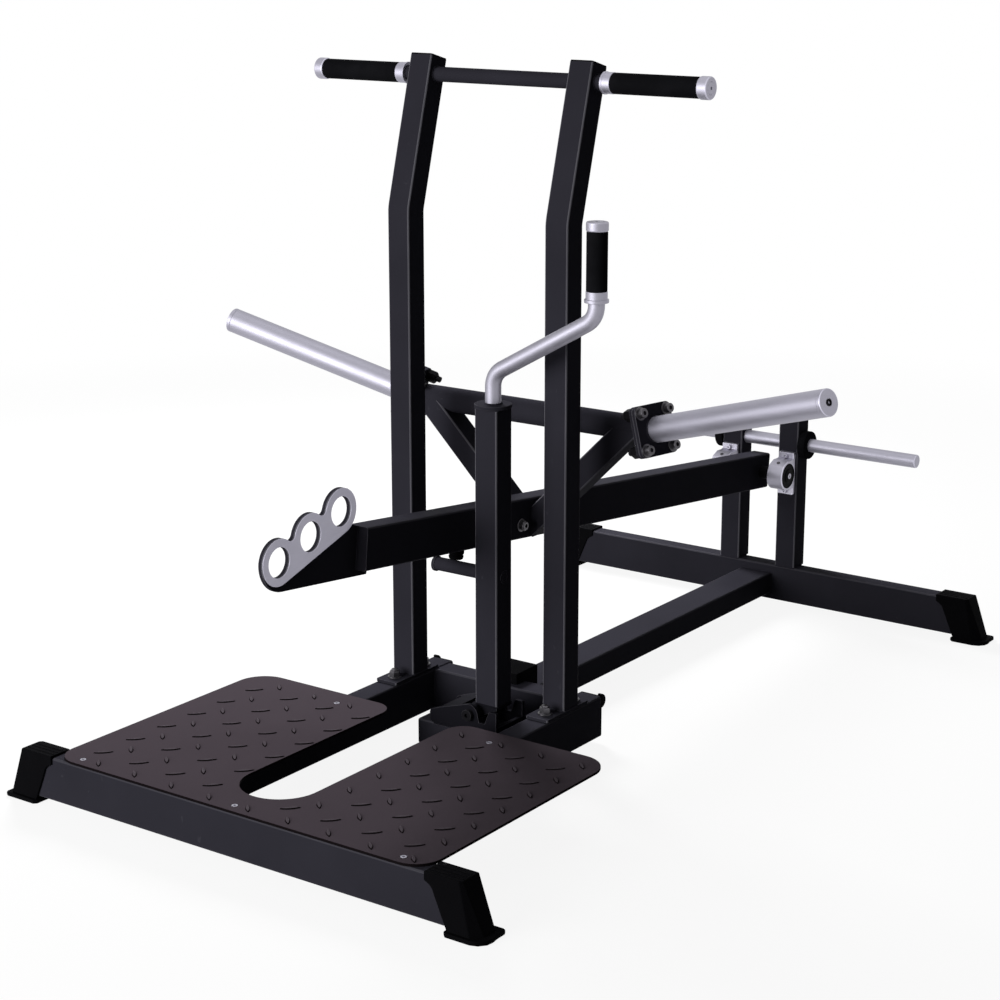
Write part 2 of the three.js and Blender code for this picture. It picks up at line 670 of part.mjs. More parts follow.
// Pivot shaft with a shoulder on each side of the lever
const shaft = { reach: 97, shoulderRadius: 14, shoulderTo: 42, edge: 1.5 };
const shoulders = sides.map(({ sign }) => {
  const from = sign * (lever.width / 2 + gap);
  const to = sign * shaft.shoulderTo;
  return rod(shaft.shoulderRadius, Math.min(from, to), Math.max(from, to), 'x');
});
const shaftRod = rod(pivot.shaftRadius, -shaft.reach, shaft.reach, 'x', shaft.edge);
piece(arm, 'pivot_shaft', joined(shaftRod, ...shoulders), blackened);

// Ring plate at the lever's front end: three belt holes in a black web with a bright face plate
const ring = { bore: 27, lobe: 42, valley: 19, ahead: 212.3, above: 1.1, pitch: 87.5, count: 3, web: 8, face: 3 };
const ringTilt = THREE.MathUtils.degToRad(17.8);
const localSlope = ringTilt + leverSlope;
const ringPlaces = Array.from({ length: ring.count }, (_, k) => [
  k * ring.pitch * Math.cos(localSlope) - leverReach - ring.ahead,
  k * ring.pitch * Math.sin(localSlope) + ring.above,
]);
const fin = { drop: 12, reach: 32 };

// The web between two lobes, hollowed above by an arc that runs smoothly into both of them.
const valleySteps = 5;
function valleyWeb(index, thickness) {
  const half = ring.pitch / 2;
  const radius = (half * half + ring.valley * ring.valley - ring.lobe * ring.lobe) / 2 / (ring.lobe - ring.valley);
  const height = ring.valley + radius;
  const opening = Math.atan2(half, height);
  const outline = [[0, 0]];
  for (let k = 0; k <= valleySteps; k += 1) {
    const angle = -opening + 2 * opening * k / valleySteps;
    outline.push([half + radius * Math.sin(angle), height - radius * Math.cos(angle)]);
  }
  outline.push([ring.pitch, 0]);
  const web = slab(polygon(outline), thickness, 'x').rotateX(localSlope);
  return web.translate(0, ringPlaces[index][0], ringPlaces[index][1]);
}

// Three lobes joined by a bar along their centres, with the ring bores cut out.
function lobes(thickness, ...others) {
  const discs = ringPlaces.map(([y, z]) => {
    const disc = rod(ring.lobe, -thickness / 2, thickness / 2, 'x', 0, fineSteps);
    return disc.translate(0, y, z);
  });
  const [first] = ringPlaces;
  const last = ringPlaces[ring.count - 1];
  const down = [ring.lobe * Math.sin(localSlope), -ring.lobe * Math.cos(localSlope)];
  const bar = slab(polygon([
    first,
    [first[0] + down[0], first[1] + down[1]],
    [last[0] + down[0], last[1] + down[1]],
    last,
  ]), thickness, 'x');
  const valleys = [0, 1].map((k) => valleyWeb(k, thickness));
  const bores = ringPlaces.map(([y, z]) => {
    const bore = rod(ring.bore, -overrun, overrun, 'x', 0, fineSteps);
    return bore.translate(0, y, z);
  });
  return cut(joined(bar, ...discs, ...valleys, ...others), ...bores);
}
const leverFront = -leverReach;
const firstRing = ringPlaces[0];
const lastRing = ringPlaces[ring.count - 1];
const ringWeb = slab(polygon([
  [firstRing[0], firstRing[1] - ring.lobe * Math.cos(localSlope)],
  [firstRing[0] - ring.lobe / 3, -leverHalf - fin.drop],
  [leverFront + fin.reach, -leverHalf - fin.drop],
  [leverFront + fin.reach, -leverHalf],
  [leverFront, -leverHalf],
  [leverFront, leverHalf],
  [lastRing[0], leverHalf + ring.lobe / 3],
]), ring.web, 'x');
const leverBlock = block(
  [-overrun, leverFront - gap, -leverHalf - gap],
  [overrun, leverFront + length, leverHalf + gap],
);
const ringPlateGeometry = cut(lobes(ring.web, ringWeb), leverBlock);
piece(arm, 'ring_plate', ringPlateGeometry, coated, [-ring.web / 2, 0, 0]);
const ringFace = cut(lobes(ring.face), leverBlock);
piece(arm, 'ring_face_plate', ringFace, satin, [ring.face / 2, 0, 0]);

// Rest pad under the lever, which lies on the support pin
const leverUnderZ = (y) => {
  const centerZ = pivot.z + (pivotY - y) * Math.tan(leverSlope);
  return centerZ - leverHalf / Math.cos(leverSlope);
};
const padDrop = (leverUnderZ(supportY) - pin.z - pin.radius) * Math.cos(leverSlope);
const padHeight = padDrop - pad.radius * Math.tan(leverSlope) - gap;
const padGeometry = turned([
  [0, -padHeight],
  [pad.radius - pad.edge, -padHeight],
  [pad.radius, pad.edge - padHeight],
  [pad.radius, 0],
  [0, 0],
], 'z');
const [padAlong] = leverPoint(supportY, leverUnderZ(supportY));
piece(arm, 'lever_rest_pad', padGeometry, rubber, [0, padAlong, -leverHalf - gap]);

// Plate carrier: a round tube across the lever on two braces, with a bolted horn at each end
const tube = { radius: 24.5, wall: 3, ahead: 902, above: 247 };
const tubeY = pivotY - tube.ahead;
const tubeZ = leverUnderZ(tubeY) + tube.above;
const brace = { width: 50, height: 46, wall: 3, corner: 4, rise: 2, topX: 250, belowTube: 20 };
const braceLowZ = leverUnderZ(tubeY) + brace.rise;
const braceTopZ = tubeZ - brace.belowTube;
const flange = { x: 277, depth: 97, height: 98, thickness: 7.5, corner: 12 };
const horn = { radius: 25, wall: 4, length: 420, edge: 2 };
const hornTilt = THREE.MathUtils.degToRad(16.1);
const hornSweep = THREE.MathUtils.degToRad(12);
const carrier = new THREE.Group();
machine.add(carrier);

function hornFrame(sign) {
  const outward = new THREE.Vector3(
    sign * Math.cos(hornTilt) * Math.cos(hornSweep),
    -Math.cos(hornTilt) * Math.sin(hornSweep),
    Math.sin(hornTilt),
  );
  const level = new THREE.Vector3().crossVectors(zAxis, outward).normalize();
  const up = new THREE.Vector3().crossVectors(outward, level);
  const matrix = new THREE.Matrix4().makeBasis(outward, level, up);
  return matrix.setPosition(sign * flange.x, tubeY, tubeZ);
}
const flangeTrims = sides.map(({ sign }) => {
  const beyond = block([flange.thickness / 2, -length, -length], [length, length, length]);
  return beyond.applyMatrix4(hornFrame(sign));
});
const tubeReach = flange.x + 2 * overrun;
const tubeBlank = pipe(tube.radius, tube.radius - tube.wall, -tubeReach, tubeReach, 'x', roundSteps);
tubeBlank.translate(0, tubeY, tubeZ);
const flangeBolt = {
  radius: 6,
  headRadius: 9,
  headHeight: 10.5,
  washerRadius: 13,
  washer: 2.5,
  nut: 20,
  nutRadius: 11,
  tail: 9,
};
const boltOffset = 35;
const boltPlaces = [-1, 1].flatMap((u) => [-1, 1].map((v) => [u * boltOffset, v * boltOffset]));
function flangePlate(holeRadius) {
  const blank = slab(roundedRectangle(flange.depth, flange.height, flange.corner), flange.thickness, 'x');
  const holes = boltPlaces.map(([u, v]) => {
    const hole = rod(holeRadius, -length, length, 'x', 0, boltSteps);
    return hole.translate(0, u, v);
  });
  return cut(blank.translate(flange.thickness / 2, 0, 0), ...holes);
}
const tubeOpening = rod(tube.radius - tube.wall, -length, length, 'x', 0, roundSteps);
const tubeFlanges = sides.map(({ sign }) => {
  return cut(flangePlate(flangeBolt.radius + gap), tubeOpening).applyMatrix4(hornFrame(sign));
});
piece(carrier, 'carrier_tube', joined(cut(tubeBlank, ...flangeTrims), ...tubeFlanges), coated);

const leverSide = lever.width / 2;
const braceAngle = Math.atan2(braceTopZ - braceLowZ, brace.topX - leverSide);
function braceGeometry(sign) {
  const reach = 3 * (brace.topX - leverSide);
  const middle = [(leverSide + brace.topX) / 2, (braceLowZ + braceTopZ) / 2];
  const lift = brace.height / 2;
  const bar = squareTube(brace, reach, 'x').rotateY(-braceAngle);
  bar.translate(middle[0] - lift * Math.sin(braceAngle), tubeY, middle[1] + lift * Math.cos(braceAngle));
  const inside = block([-length, tubeY - length, -length], [leverSide, tubeY + length, length]);
  const above = block([-length, tubeY - length, tubeZ], [length, tubeY + length, length]);
  const round = rod(tube.radius + gap, -length, length, 'x', 0, roundSteps).translate(0, tubeY, tubeZ);
  const geometry = cut(bar, inside, above, round);
  return sign > 0 ? geometry : geometry.rotateZ(Math.PI).translate(0, 2 * tubeY, 0);
}
for (const { name, sign } of sides) {
  piece(carrier, `${name}_carrier_brace`, braceGeometry(sign), coated);
}

// Flange bolts: socket heads on washers outside, nuts inside
function socketBolt(clamped) {
  const top = flangeBolt.washer + flangeBolt.headHeight;
  return turned([
    [0, -clamped],
    [flangeBolt.radius, -clamped],
    [flangeBolt.radius, 0],
    [flangeBolt.washerRadius, 0],
    [flangeBolt.washerRadius, flangeBolt.washer],
    [flangeBolt.headRadius, flangeBolt.washer],
    [flangeBolt.headRadius, top],
    [0, top],
  ], 'x', boltSteps);
}
const hornCap = { thickness: 4, edge: 2, screwRadius: 7, screwHeight: 4 };
function hornGeometry() {
  const to = horn.length;
  const faceAt = to + hornCap.thickness;
  const bore = horn.radius - horn.wall;
  return turned([
    [bore, 0],
    [horn.radius, 0],
    [horn.radius, faceAt - hornCap.edge],
    [horn.radius - hornCap.edge, faceAt],
    [hornCap.screwRadius, faceAt],
    [hornCap.screwRadius, faceAt + hornCap.screwHeight],
    [0, faceAt + hornCap.screwHeight],
    [0, to],
    [bore, to],
    [bore, 0],
  ], 'x', fineSteps);
}
const flangeSeat = flange.thickness + gap;
for (const { name, sign } of sides) {
  const end = new THREE.Group();
  end.applyMatrix4(hornFrame(sign));
  carrier.add(end);
  const clamped = 2 * flange.thickness + 2 * gap;
  const bolts = boltPlaces.map(([u, v]) => {
    const nut = rod(flangeBolt.nutRadius, -clamped - flangeBolt.nut, -clamped, 'x', 0, 6);
    const bolt = socketBolt(clamped + flangeBolt.nut + flangeBolt.tail);
    return joined(bolt, nut).translate(flange.thickness, u, v);
  });
  const boltedFlange = joined(flangePlate(flangeBolt.radius / 2), ...bolts);
  piece(end, `${name}_horn_flange`, boltedFlange, coated, [flangeSeat, 0, 0]);
  piece(end, `${name}_horn`, hornGeometry(), satin, [2 * flangeSeat, 0, 0]);
}


// Support: a post on a hinge along Y, a pin under the lever and a crank handle on top
const support = { width: 50, height: 50, wall: 3, corner: 4, x: 85.5, bottomZ: 116, topZ: 689 };
const postCap = { radius: 35, thickness: 7, edge: 1.5 };
const barrel = { radius: 16, play: 0.5 };
const swing = new THREE.Group();
swing.position.set(0, supportY, 0);
machine.add(swing);
const supportTube = squareTube(support, support.topZ - support.bottomZ, 'z');
supportTube.translate(support.x, 0, (support.topZ + support.bottomZ) / 2);
const pinHole = rod(pin.radius + gap, 0, length, 'x').translate(0, 0, pin.z);
piece(swing, 'support_post', cut(supportTube, pinHole), coated);
const capPlace = [support.x, 0, support.topZ];
piece(swing, 'support_post_cap', rod(postCap.radius, 0, postCap.thickness, 'z', postCap.edge), coated, capPlace);
const pinRight = support.x + support.width / 2 + pin.proud;
const pinGeometry = turned([
  [0, pin.tipX - pin.disc],
  [pin.discRadius - pin.edge, pin.tipX - pin.disc],
  [pin.discRadius, pin.tipX - pin.disc + pin.edge],
  [pin.discRadius, pin.tipX],
  [pin.radius, pin.tipX],
  [pin.radius, pinRight],
  [0, pinRight],
], 'x');
piece(swing, 'support_pin', pinGeometry, coated, [0, 0, pin.z]);

// Hinge barrel with a saddle under the post
const clevisInside = stub.width / 2 - clevis.plate - barrel.play;
const saddle = { left: 54, drop: 6, flare: 14 };
const saddleGeometry = slab(polygon([
  [saddle.left, support.bottomZ],
  [support.x + support.width / 2, support.bottomZ],
  [support.x + support.width / 2, support.bottomZ - saddle.drop],
  [hinge.x + saddle.flare, hinge.z - saddle.drop],
  [hinge.x, hinge.z],
  [saddle.left, hinge.z],
]), support.height, 'y');
const barrelY = stubY - supportY;
const barrelGeometry = rod(barrel.radius, -clevisInside, clevisInside, 'y');
barrelGeometry.translate(hinge.x, barrelY, hinge.z);
const boltBore = rod(hinge.bolt + gap, -length, length, 'y').translate(hinge.x, 0, hinge.z);
piece(swing, 'support_hinge_barrel', cut(joined(barrelGeometry, saddleGeometry), boltBore), coated);

// Crank: a bent bright tube with a collar, a rubber grip and an end cap
const crank = { radius: 15, wall: 2.5, bendRadius: 42, lowZ: 751, highZ: 876, gripX: 308.5, topZ: 1030 };
const crankCollar = { lipFrom: 905, lip: 6, lipRadius: 22, to: 925, radius: 19.5 };
const crankGrip = { radius: 19, to: 1030, edge: 2 };
const crankCap = { radius: 20, height: 17, edge: 3 };

// A path through stations, close together in the bends and far apart on the straights.
class StationPath extends THREE.Curve {
  constructor(stations) {
    super();
    this.stations = stations;
  }

  getPointAt(share) {
    return this.stations[Math.round(share * (this.stations.length - 1))].clone();
  }

  getTangentAt(share) {
    const last = this.stations.length - 1;
    const index = Math.round(share * last);
    const here = this.stations[index];
    const tangent = new THREE.Vector3();
    if (index > 0) tangent.add(here.clone().sub(this.stations[index - 1]).normalize());
    if (index < last) tangent.add(this.stations[index + 1].clone().sub(here).normalize());
    return tangent.normalize();
  }
}
const bendSteps = 4;
function roundedStations(points, radius) {
  const stations = [points[0]];
  for (let k = 1; k + 1 < points.length; k += 1) {
    const before = points[k].clone().sub(points[k - 1]).normalize();
    const after = points[k + 1].clone().sub(points[k]).normalize();
    const setback = radius * Math.tan(before.angleTo(after) / 2);
    const from = points[k].clone().addScaledVector(before, -setback);
    const to = points[k].clone().addScaledVector(after, setback);
    const bend = new THREE.QuadraticBezierCurve3(from, points[k], to);
    stations.push(...bend.getPoints(bendSteps));
  }
  stations.push(points[points.length - 1]);
  return stations;
}
const crankFoot = support.topZ + postCap.thickness;
const crankStations = roundedStations([
  new THREE.Vector3(support.x, 0, crankFoot),
  new THREE.Vector3(support.x, 0, crank.lowZ),
  new THREE.Vector3(crank.gripX, 0, crank.highZ),
  new THREE.Vector3(crank.gripX, 0, crank.topZ - 2 * crankGrip.edge),
], crank.bendRadius);
const crankSection = new THREE.Shape().absarc(0, 0, crank.radius, 0, 2 * Math.PI);
crankSection.holes.push(new THREE.Path().absarc(0, 0, crank.radius - crank.wall, 0, 2 * Math.PI));
const crankGeometry = new THREE.ExtrudeGeometry(crankSection, {
  extrudePath: new StationPath(crankStations),
  steps: crankStations.length - 1,
  curveSegments: 6,
  bevelEnabled: false,
});
piece(swing, 'crank_tube', crankGeometry, satin);
const crankBore = crank.radius + 3 * gap;
const crankCollarGeometry = turned([
  [crankBore, crankCollar.lipFrom],
  [crankCollar.lipRadius, crankCollar.lipFrom],
  [crankCollar.lipRadius, crankCollar.lipFrom + crankCollar.lip],
  [crankCollar.radius, crankCollar.lipFrom + crankCollar.lip],
  [crankCollar.radius, crankCollar.to],
  [crankBore, crankCollar.to],
  [crankBore, crankCollar.lipFrom],
], 'z');
piece(swing, 'crank_collar', crankCollarGeometry, satin, [crank.gripX, 0, 0]);
const crankGripGeometry = turned([
  [crankBore, crankCollar.to],
  [crankGrip.radius - crankGrip.edge, crankCollar.to],
  [crankGrip.radius, crankCollar.to + crankGrip.edge],
  [crankGrip.radius, crankGrip.to - crankGrip.edge],
  [crankGrip.radius - crankGrip.edge, crankGrip.to],
  [crankBore, crankGrip.to],
  [crankBore, crankCollar.to],
], 'z');
piece(swing, 'crank_grip', crankGripGeometry, rubber, [crank.gripX, 0, 0]);
const crankCapGeometry = turned([
  [0, crankGrip.to],
  [crankCap.radius, crankGrip.to],
  [crankCap.radius, crankGrip.to + crankCap.height - crankCap.edge],
  [crankCap.radius - crankCap.edge, crankGrip.to + crankCap.height],
  [0, crankGrip.to + crankCap.height],
], 'z');
piece(swing, 'crank_cap', crankCapGeometry, satin, [crank.gripX, 0, 0]);

export default machine;
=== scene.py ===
import math

import bmesh
import bpy
from mathutils import Matrix, Vector


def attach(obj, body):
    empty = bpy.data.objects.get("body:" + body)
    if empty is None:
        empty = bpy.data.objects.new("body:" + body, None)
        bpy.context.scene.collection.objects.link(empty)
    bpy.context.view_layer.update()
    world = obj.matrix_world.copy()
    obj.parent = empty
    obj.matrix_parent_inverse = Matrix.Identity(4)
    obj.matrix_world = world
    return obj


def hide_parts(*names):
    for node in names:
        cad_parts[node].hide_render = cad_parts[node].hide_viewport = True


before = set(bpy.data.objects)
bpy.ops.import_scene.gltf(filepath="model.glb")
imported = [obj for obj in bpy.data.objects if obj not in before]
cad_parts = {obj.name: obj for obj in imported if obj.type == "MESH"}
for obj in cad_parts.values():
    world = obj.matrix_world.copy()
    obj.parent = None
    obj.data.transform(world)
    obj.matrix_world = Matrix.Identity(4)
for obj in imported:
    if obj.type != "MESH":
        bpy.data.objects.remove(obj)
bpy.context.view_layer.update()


# Studio: a white cove with a wide soft lamp at the front left, a small one behind on the left, one
# overhead and a camera on a long lens. The cove shows white to the camera and in the bright steel,
# and keeps the shadow.

scene = bpy.context.scene
scene.view_settings.view_transform = "Standard"


def placed(name, data):
    made = bpy.data.objects.new(name, data)
    scene.collection.objects.link(made)
    return made


lens = bpy.data.cameras.new("studio_camera")
lens.lens = 79.776
lens.sensor_width = 36
camera = placed("studio_camera", lens)
camera.location = (2.3997, -3.5069, 1.5685)
camera_tilt, camera_heading = math.radians(75.1), math.radians(35.5)
camera.rotation_euler = (camera_tilt, 0, camera_heading)
scene.camera = camera


class Wire:
    """A socket of a node tree. Sums written with wires add the Math nodes that work them out."""

    def __init__(self, tree, socket=None):
        self.tree = tree
        self.socket = socket

    def node(self, kind, settings=None, inputs=None, output=0):
        made = self.tree.nodes.new(kind)
        for name, value in (settings or {}).items():
            setattr(made, name, value)
        for name, value in (inputs or {}).items():
            if isinstance(value, Wire):
                self.tree.links.new(value.socket, made.inputs[name])
            else:
                made.inputs[name].default_value = value
        return Wire(self.tree, made.outputs[output] if made.outputs else None)

    def sum_of(self, operation, first, second):
        return self.node("ShaderNodeMath", {"operation": operation}, {0: first, 1: second})

    def __add__(self, other):
        return self.sum_of("ADD", self, other)

    def __sub__(self, other):
        return self.sum_of("SUBTRACT", self, other)

    def __rsub__(self, other):
        return self.sum_of("SUBTRACT", other, self)

    def __mul__(self, other):
        return self.sum_of("MULTIPLY", self, other)

    def __or__(self, other):
        return self.sum_of("MAXIMUM", self, other)

    __radd__, __rmul__, __ror__ = __add__, __mul__, __or__

    def within(self, low, high):
        """Runs from 0 at the low value to 1 at the high one."""
        limits = {"Value": self, "From Min": low, "From Max": high}
        return self.node("ShaderNodeMapRange", {"clamp": True}, limits)


def shades(amount, first, second):
    """The first colour where the amount is 0, and the second where it is 1."""
    return amount.node("ShaderNodeMix", {"data_type": "RGBA"}, {0: amount, 6: first, 7: second}, 2)


def seen_rays(start):
    """1 for what the camera sees straight, in a reflection or through a clear thing."""
    kinds = ("Is Camera Ray", "Is Glossy Ray", "Is Transmission Ray")
    camera_ray, glossy_ray, clear_ray = [start.node("ShaderNodeLightPath", output=kind) for kind in kinds]
    return camera_ray | glossy_ray | clear_ray


def emptied(data):
    data.use_nodes = True
    data.node_tree.nodes.clear()
    return Wire(data.node_tree)


world = bpy.data.worlds.new("studio_air")
scene.world = world
air = emptied(world)
air_fill = 0.06
air_strength = air_fill + (1 - air_fill) * seen_rays(air)
air_glow = air.node("ShaderNodeBackground", inputs={"Color": (1, 1, 1, 1), "Strength": air_strength})
air.node("ShaderNodeOutputWorld", inputs={"Surface": air_glow})

paper = bpy.data.materials.new("cove_paper")
cove = emptied(paper)
cove_place = cove.node("ShaderNodeTexCoord", output="Object")
from_middle = cove.node("ShaderNodeVectorMath", {"operation": "LENGTH"}, {0: cove_place}, "Value")
shadow_reach, white_reach = 1.4, 4.0
whiteness = 0.9 + 0.1 * from_middle.within(shadow_reach, white_reach)
lighting_grey, seen_grey = (0.13, 0.13, 0.132, 1), (0.9, 0.9, 0.9, 1)
paper_tone = shades(seen_rays(cove), lighting_grey, seen_grey)
matt_paper = cove.node("ShaderNodeBsdfDiffuse", inputs={"Color": paper_tone})
white_paper = cove.node("ShaderNodeEmission", inputs={"Color": (1, 1, 1, 1), "Strength": 1.0})
white_share = whiteness * seen_rays(cove)
cove_surface = cove.node("ShaderNodeMixShader", inputs={0: white_share, 1: matt_paper, 2: white_paper})
cove.node("ShaderNodeOutputMaterial", inputs={"Surface": cove_surface})

floor_half, floor_gap = 30, 0.0005
floor_shape = bmesh.new()
bmesh.ops.create_grid(floor_shape, x_segments=4, y_segments=4, size=floor_half)
bmesh.ops.translate(floor_shape, vec=(0, 0, -floor_gap), verts=floor_shape.verts)
floor_mesh = bpy.data.meshes.new("cove_floor")
floor_shape.to_mesh(floor_mesh)
floor_shape.free()
floor_mesh.materials.append(paper)
floor = placed("cove_floor", floor_mesh)


def soft_lamp(name, place, aim, width, power, mirrored=True):
    lamp = bpy.data.lights.new(name, "AREA")
    lamp.shape = "DISK"
    lamp.size = width
    lamp.energy = power
    hung = placed(name, lamp)
    hung.location = place
    hung.rotation_euler = (Vector(aim) - Vector(place)).to_track_quat("-Z", "Y").to_euler()
    hung.visible_glossy = mirrored


soft_lamp("front_lamp", (-1.5, -5.1, 1.1), aim=(0, 0, 0.5), width=4.2, power=312)
soft_lamp("rear_lamp", (-2.0, 1.3, 1.9), aim=(0, -0.3, 0.3), width=1.1, power=150, mirrored=False)
soft_lamp("overhead_lamp", (-0.4, 0.2, 5.2), aim=(0, 0, 0.3), width=3.6, power=22)


# Floor frame: box tubes of black steel, sawn to length, welded into a frame and powder coated in a
# very dark violet grey. The front beam carries the foot plate, the rear beam the lever's posts.

def bevelled(bm, edges, width, segments=2):
    bmesh.ops.bevel(
        bm, geom=edges, offset=width, segments=segments, profile=0.5, affect="EDGES", material=-1)


def tube_bar(low, high, along, corner=0.005):
    """A length of box tube: its long corners are round and its sawn ends are just broken."""
    bm = bmesh.new()
    bmesh.ops.create_cube(bm, size=1)
    bmesh.ops.scale(bm, vec=Vector(high) - Vector(low), verts=bm.verts)
    bmesh.ops.translate(bm, vec=(Vector(high) + Vector(low)) / 2, verts=bm.verts)
    long_edges = [e for e in bm.edges if abs((e.verts[0].co - e.verts[1].co)[along]) > 1e-6]
    bevelled(bm, long_edges, corner, 6)
    bevelled(bm, [e for e in bm.edges if e.calc_face_angle() > 1.2], 0.0007)
    return bm


def only(kind, parts):
    return [part for part in parts if isinstance(part, kind)]


def merged(bm):
    bmesh.ops.remove_doubles(bm, verts=bm.verts, dist=1e-6)


def open_ends_closed(bm):
    bmesh.ops.holes_fill(bm, edges=[e for e in bm.edges if e.is_boundary], sides=0)


def pointing(way):
    """The turn that takes straight up to a way."""
    return Vector((0, 0, 1)).rotation_difference(Vector(way))


def swept(stations, radius, corners, waist=1.0):
    """A round section carried along a path. A waist below 1 makes every second ring narrower."""
    bm = bmesh.new()
    bmesh.ops.create_circle(bm, segments=corners, radius=radius)
    ahead = [(b - a).normalized() for a, b in zip(stations, stations[1:])]
    ways = [ahead[0]] + [(a + b).normalized() for a, b in zip(ahead, ahead[1:])] + [ahead[-1]]
    turn = pointing(ways[0])
    last = Matrix.Identity(4)
    edges, verts = list(bm.edges), list(bm.verts)
    for k, (station, way) in enumerate(zip(stations, ways)):
        if k:
            turn = ways[k - 1].rotation_difference(way) @ turn
            grown = bmesh.ops.extrude_edge_only(bm, edges=edges)["geom"]
            verts, edges = only(bmesh.types.BMVert, grown), only(bmesh.types.BMEdge, grown)
        size = waist if k % 2 else 1.0
        here = Matrix.Translation(station) @ turn.to_matrix().to_4x4() @ Matrix.Scale(size, 4)
        bmesh.ops.transform(bm, matrix=here @ last.inverted(), verts=verts)
        last = here
    merged(bm)
    open_ends_closed(bm)
    bmesh.ops.recalc_face_normals(bm, faces=bm.faces)
    return bm


bead_ripple = 0.0021


def rippled(stations, radius):
    """A weld bead, rippled where the arc moved on."""
    return swept(stations, radius, corners=6, waist=0.8)


def bead(path, radius=0.0023):
    """A weld bead laid along straight runs."""
    corners = [Vector(point) for point in path]
    stations = [corners[0]]
    for start, end in zip(corners, corners[1:]):
        count = max(2, round((end - start).length / bead_ripple))
        stations += [start.lerp(end, k / count) for k in range(1, count + 1)]
    return rippled(stations, radius)


def facing(axis, place=(0, 0, 0)):
    """Turns what is drawn flat to face along an axis: its plane is YZ, XZ or XY."""
    sides = {
        "x": ((0, 1, 0), (0, 0, 1), (1, 0, 0)),
        "y": ((1, 0, 0), (0, 0, 1), (0, -1, 0)),
        "z": ((1, 0, 0), (0, 1, 0), (0, 0, 1)),
    }[axis]
    return Matrix.Translation(place) @ Matrix(sides).transposed().to_4x4()


def bead_round(middle, axis, wide, high):
    """A bead around a box section that ends on a face, by the section's two half sizes."""
    near = 0.82
    half_turn = [(1, near), (near, 1), (-near, 1), (-1, near)]
    turns = half_turn + [(-u, -v) for u, v in half_turn] + half_turn[:1]
    laid = facing(axis, middle)
    return bead([laid @ Vector((wide * u, high * v, 0)) for u, v in turns])


widest_corner, least_bend, most_bend = 0.003, 0.2, 0.9
sharp_angle = math.radians(34)


# The corner mark carries the painted highlight on corners in the coats and steels; the level mark carries the
# tread coat's painted shade on slopes.
def mark_corners(shape):
    """Marks how level each face lies, and the narrow faces that round a convex corner."""
    corner = shape.faces.layers.float.new("corner")
    level = shape.faces.layers.float.new("level")
    for face in shape.faces:
        face[level] = face.normal.z
        longest = max(edge.calc_length() for edge in face.edges)
        inner_edges = [edge for edge in face.edges if len(edge.link_faces) == 2]
        long_edges = [edge for edge in inner_edges if edge.calc_length() > 0.6 * longest]
        bends = [edge.calc_face_angle_signed(0) for edge in long_edges]
        narrow = face.calc_area() < widest_corner * longest and len(face.verts) == 4
        if narrow and len(bends) > 1 and min(bends) > least_bend and max(bends) < most_bend:
            run = long_edges[0].verts[1].co - long_edges[0].verts[0].co
            face[corner] = 0.25 + 0.75 * abs(run.normalized().z)


def piece(name, shapes, finish, body, *nodes):
    """Joins shapes into one object that rides a body and stands for the CAD nodes it replaces."""
    material, slot = finish
    whole = bmesh.new()
    for shape in shapes:
        part = bpy.data.meshes.new(name)
        shape.to_mesh(part)
        shape.free()
        whole.from_mesh(part)
        bpy.data.meshes.remove(part)
    mesh = bpy.data.meshes.new(name)
    mark_corners(whole)
    whole.to_mesh(mesh)
    whole.free()
    mesh.materials.append(material)
    mesh.shade_smooth()
    mesh.set_sharp_from_angle(angle=sharp_angle)
    made = placed(name, mesh)
    even = made.modifiers.new("even_shading", "WEIGHTED_NORMAL")
    even.keep_sharp = True
    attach(made, body)
    if nodes:
        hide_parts(*nodes)


def new_finish(name):
    """An empty material, with the wire of its place on the piece."""
    material = bpy.data.materials.new(name)
    return material, emptied(material).node("ShaderNodeTexCoord", output="Object")


def cover(place, colour, roughness, bumps, sheen=None):
    """Ends a material: a coat of a uniform sheen, or bare metal where none is given."""
    looks = {"Base Color": colour, "Roughness": roughness, "Normal": bumps}
    looks |= {"Metallic": 1.0} if sheen is None else {"Specular IOR Level": sheen}
    surface = place.node("ShaderNodeBsdfPrincipled", inputs=looks)
    place.node("ShaderNodeOutputMaterial", inputs={"Surface": surface})


def grain(place, scale, detail, stretch=(1, 1, 1), turn=(0, 0, 0)):
    """Noise from 0 to 1 at a number of grains per metre, drawn out by a stretch of the place."""
    laid = place.node("ShaderNodeMapping", inputs={"Vector": place, "Scale": stretch, "Rotation": turn})
    return place.node("ShaderNodeTexNoise", {}, {"Vector": laid, "Scale": scale, "Detail": detail}, "Fac")


def relief(height, depth, strength):
    return height.node("ShaderNodeBump", inputs={"Height": height, "Distance": depth, "Strength": strength})


def face_mark(place, mark):
    return place.node("ShaderNodeAttribute", {"attribute_name": mark}, output="Fac")


def toned(tone, factor=1.0):
    """A colour made darker or lighter."""
    return tuple(min(1, factor * part) for part in tone) + (1,)


def orange_peel(place):
    """What cured powder shows all over: soft clouds of tone and a fine peel."""
    return grain(place, 5, 3).within(0.3, 0.7), grain(place, 620, 1.5)


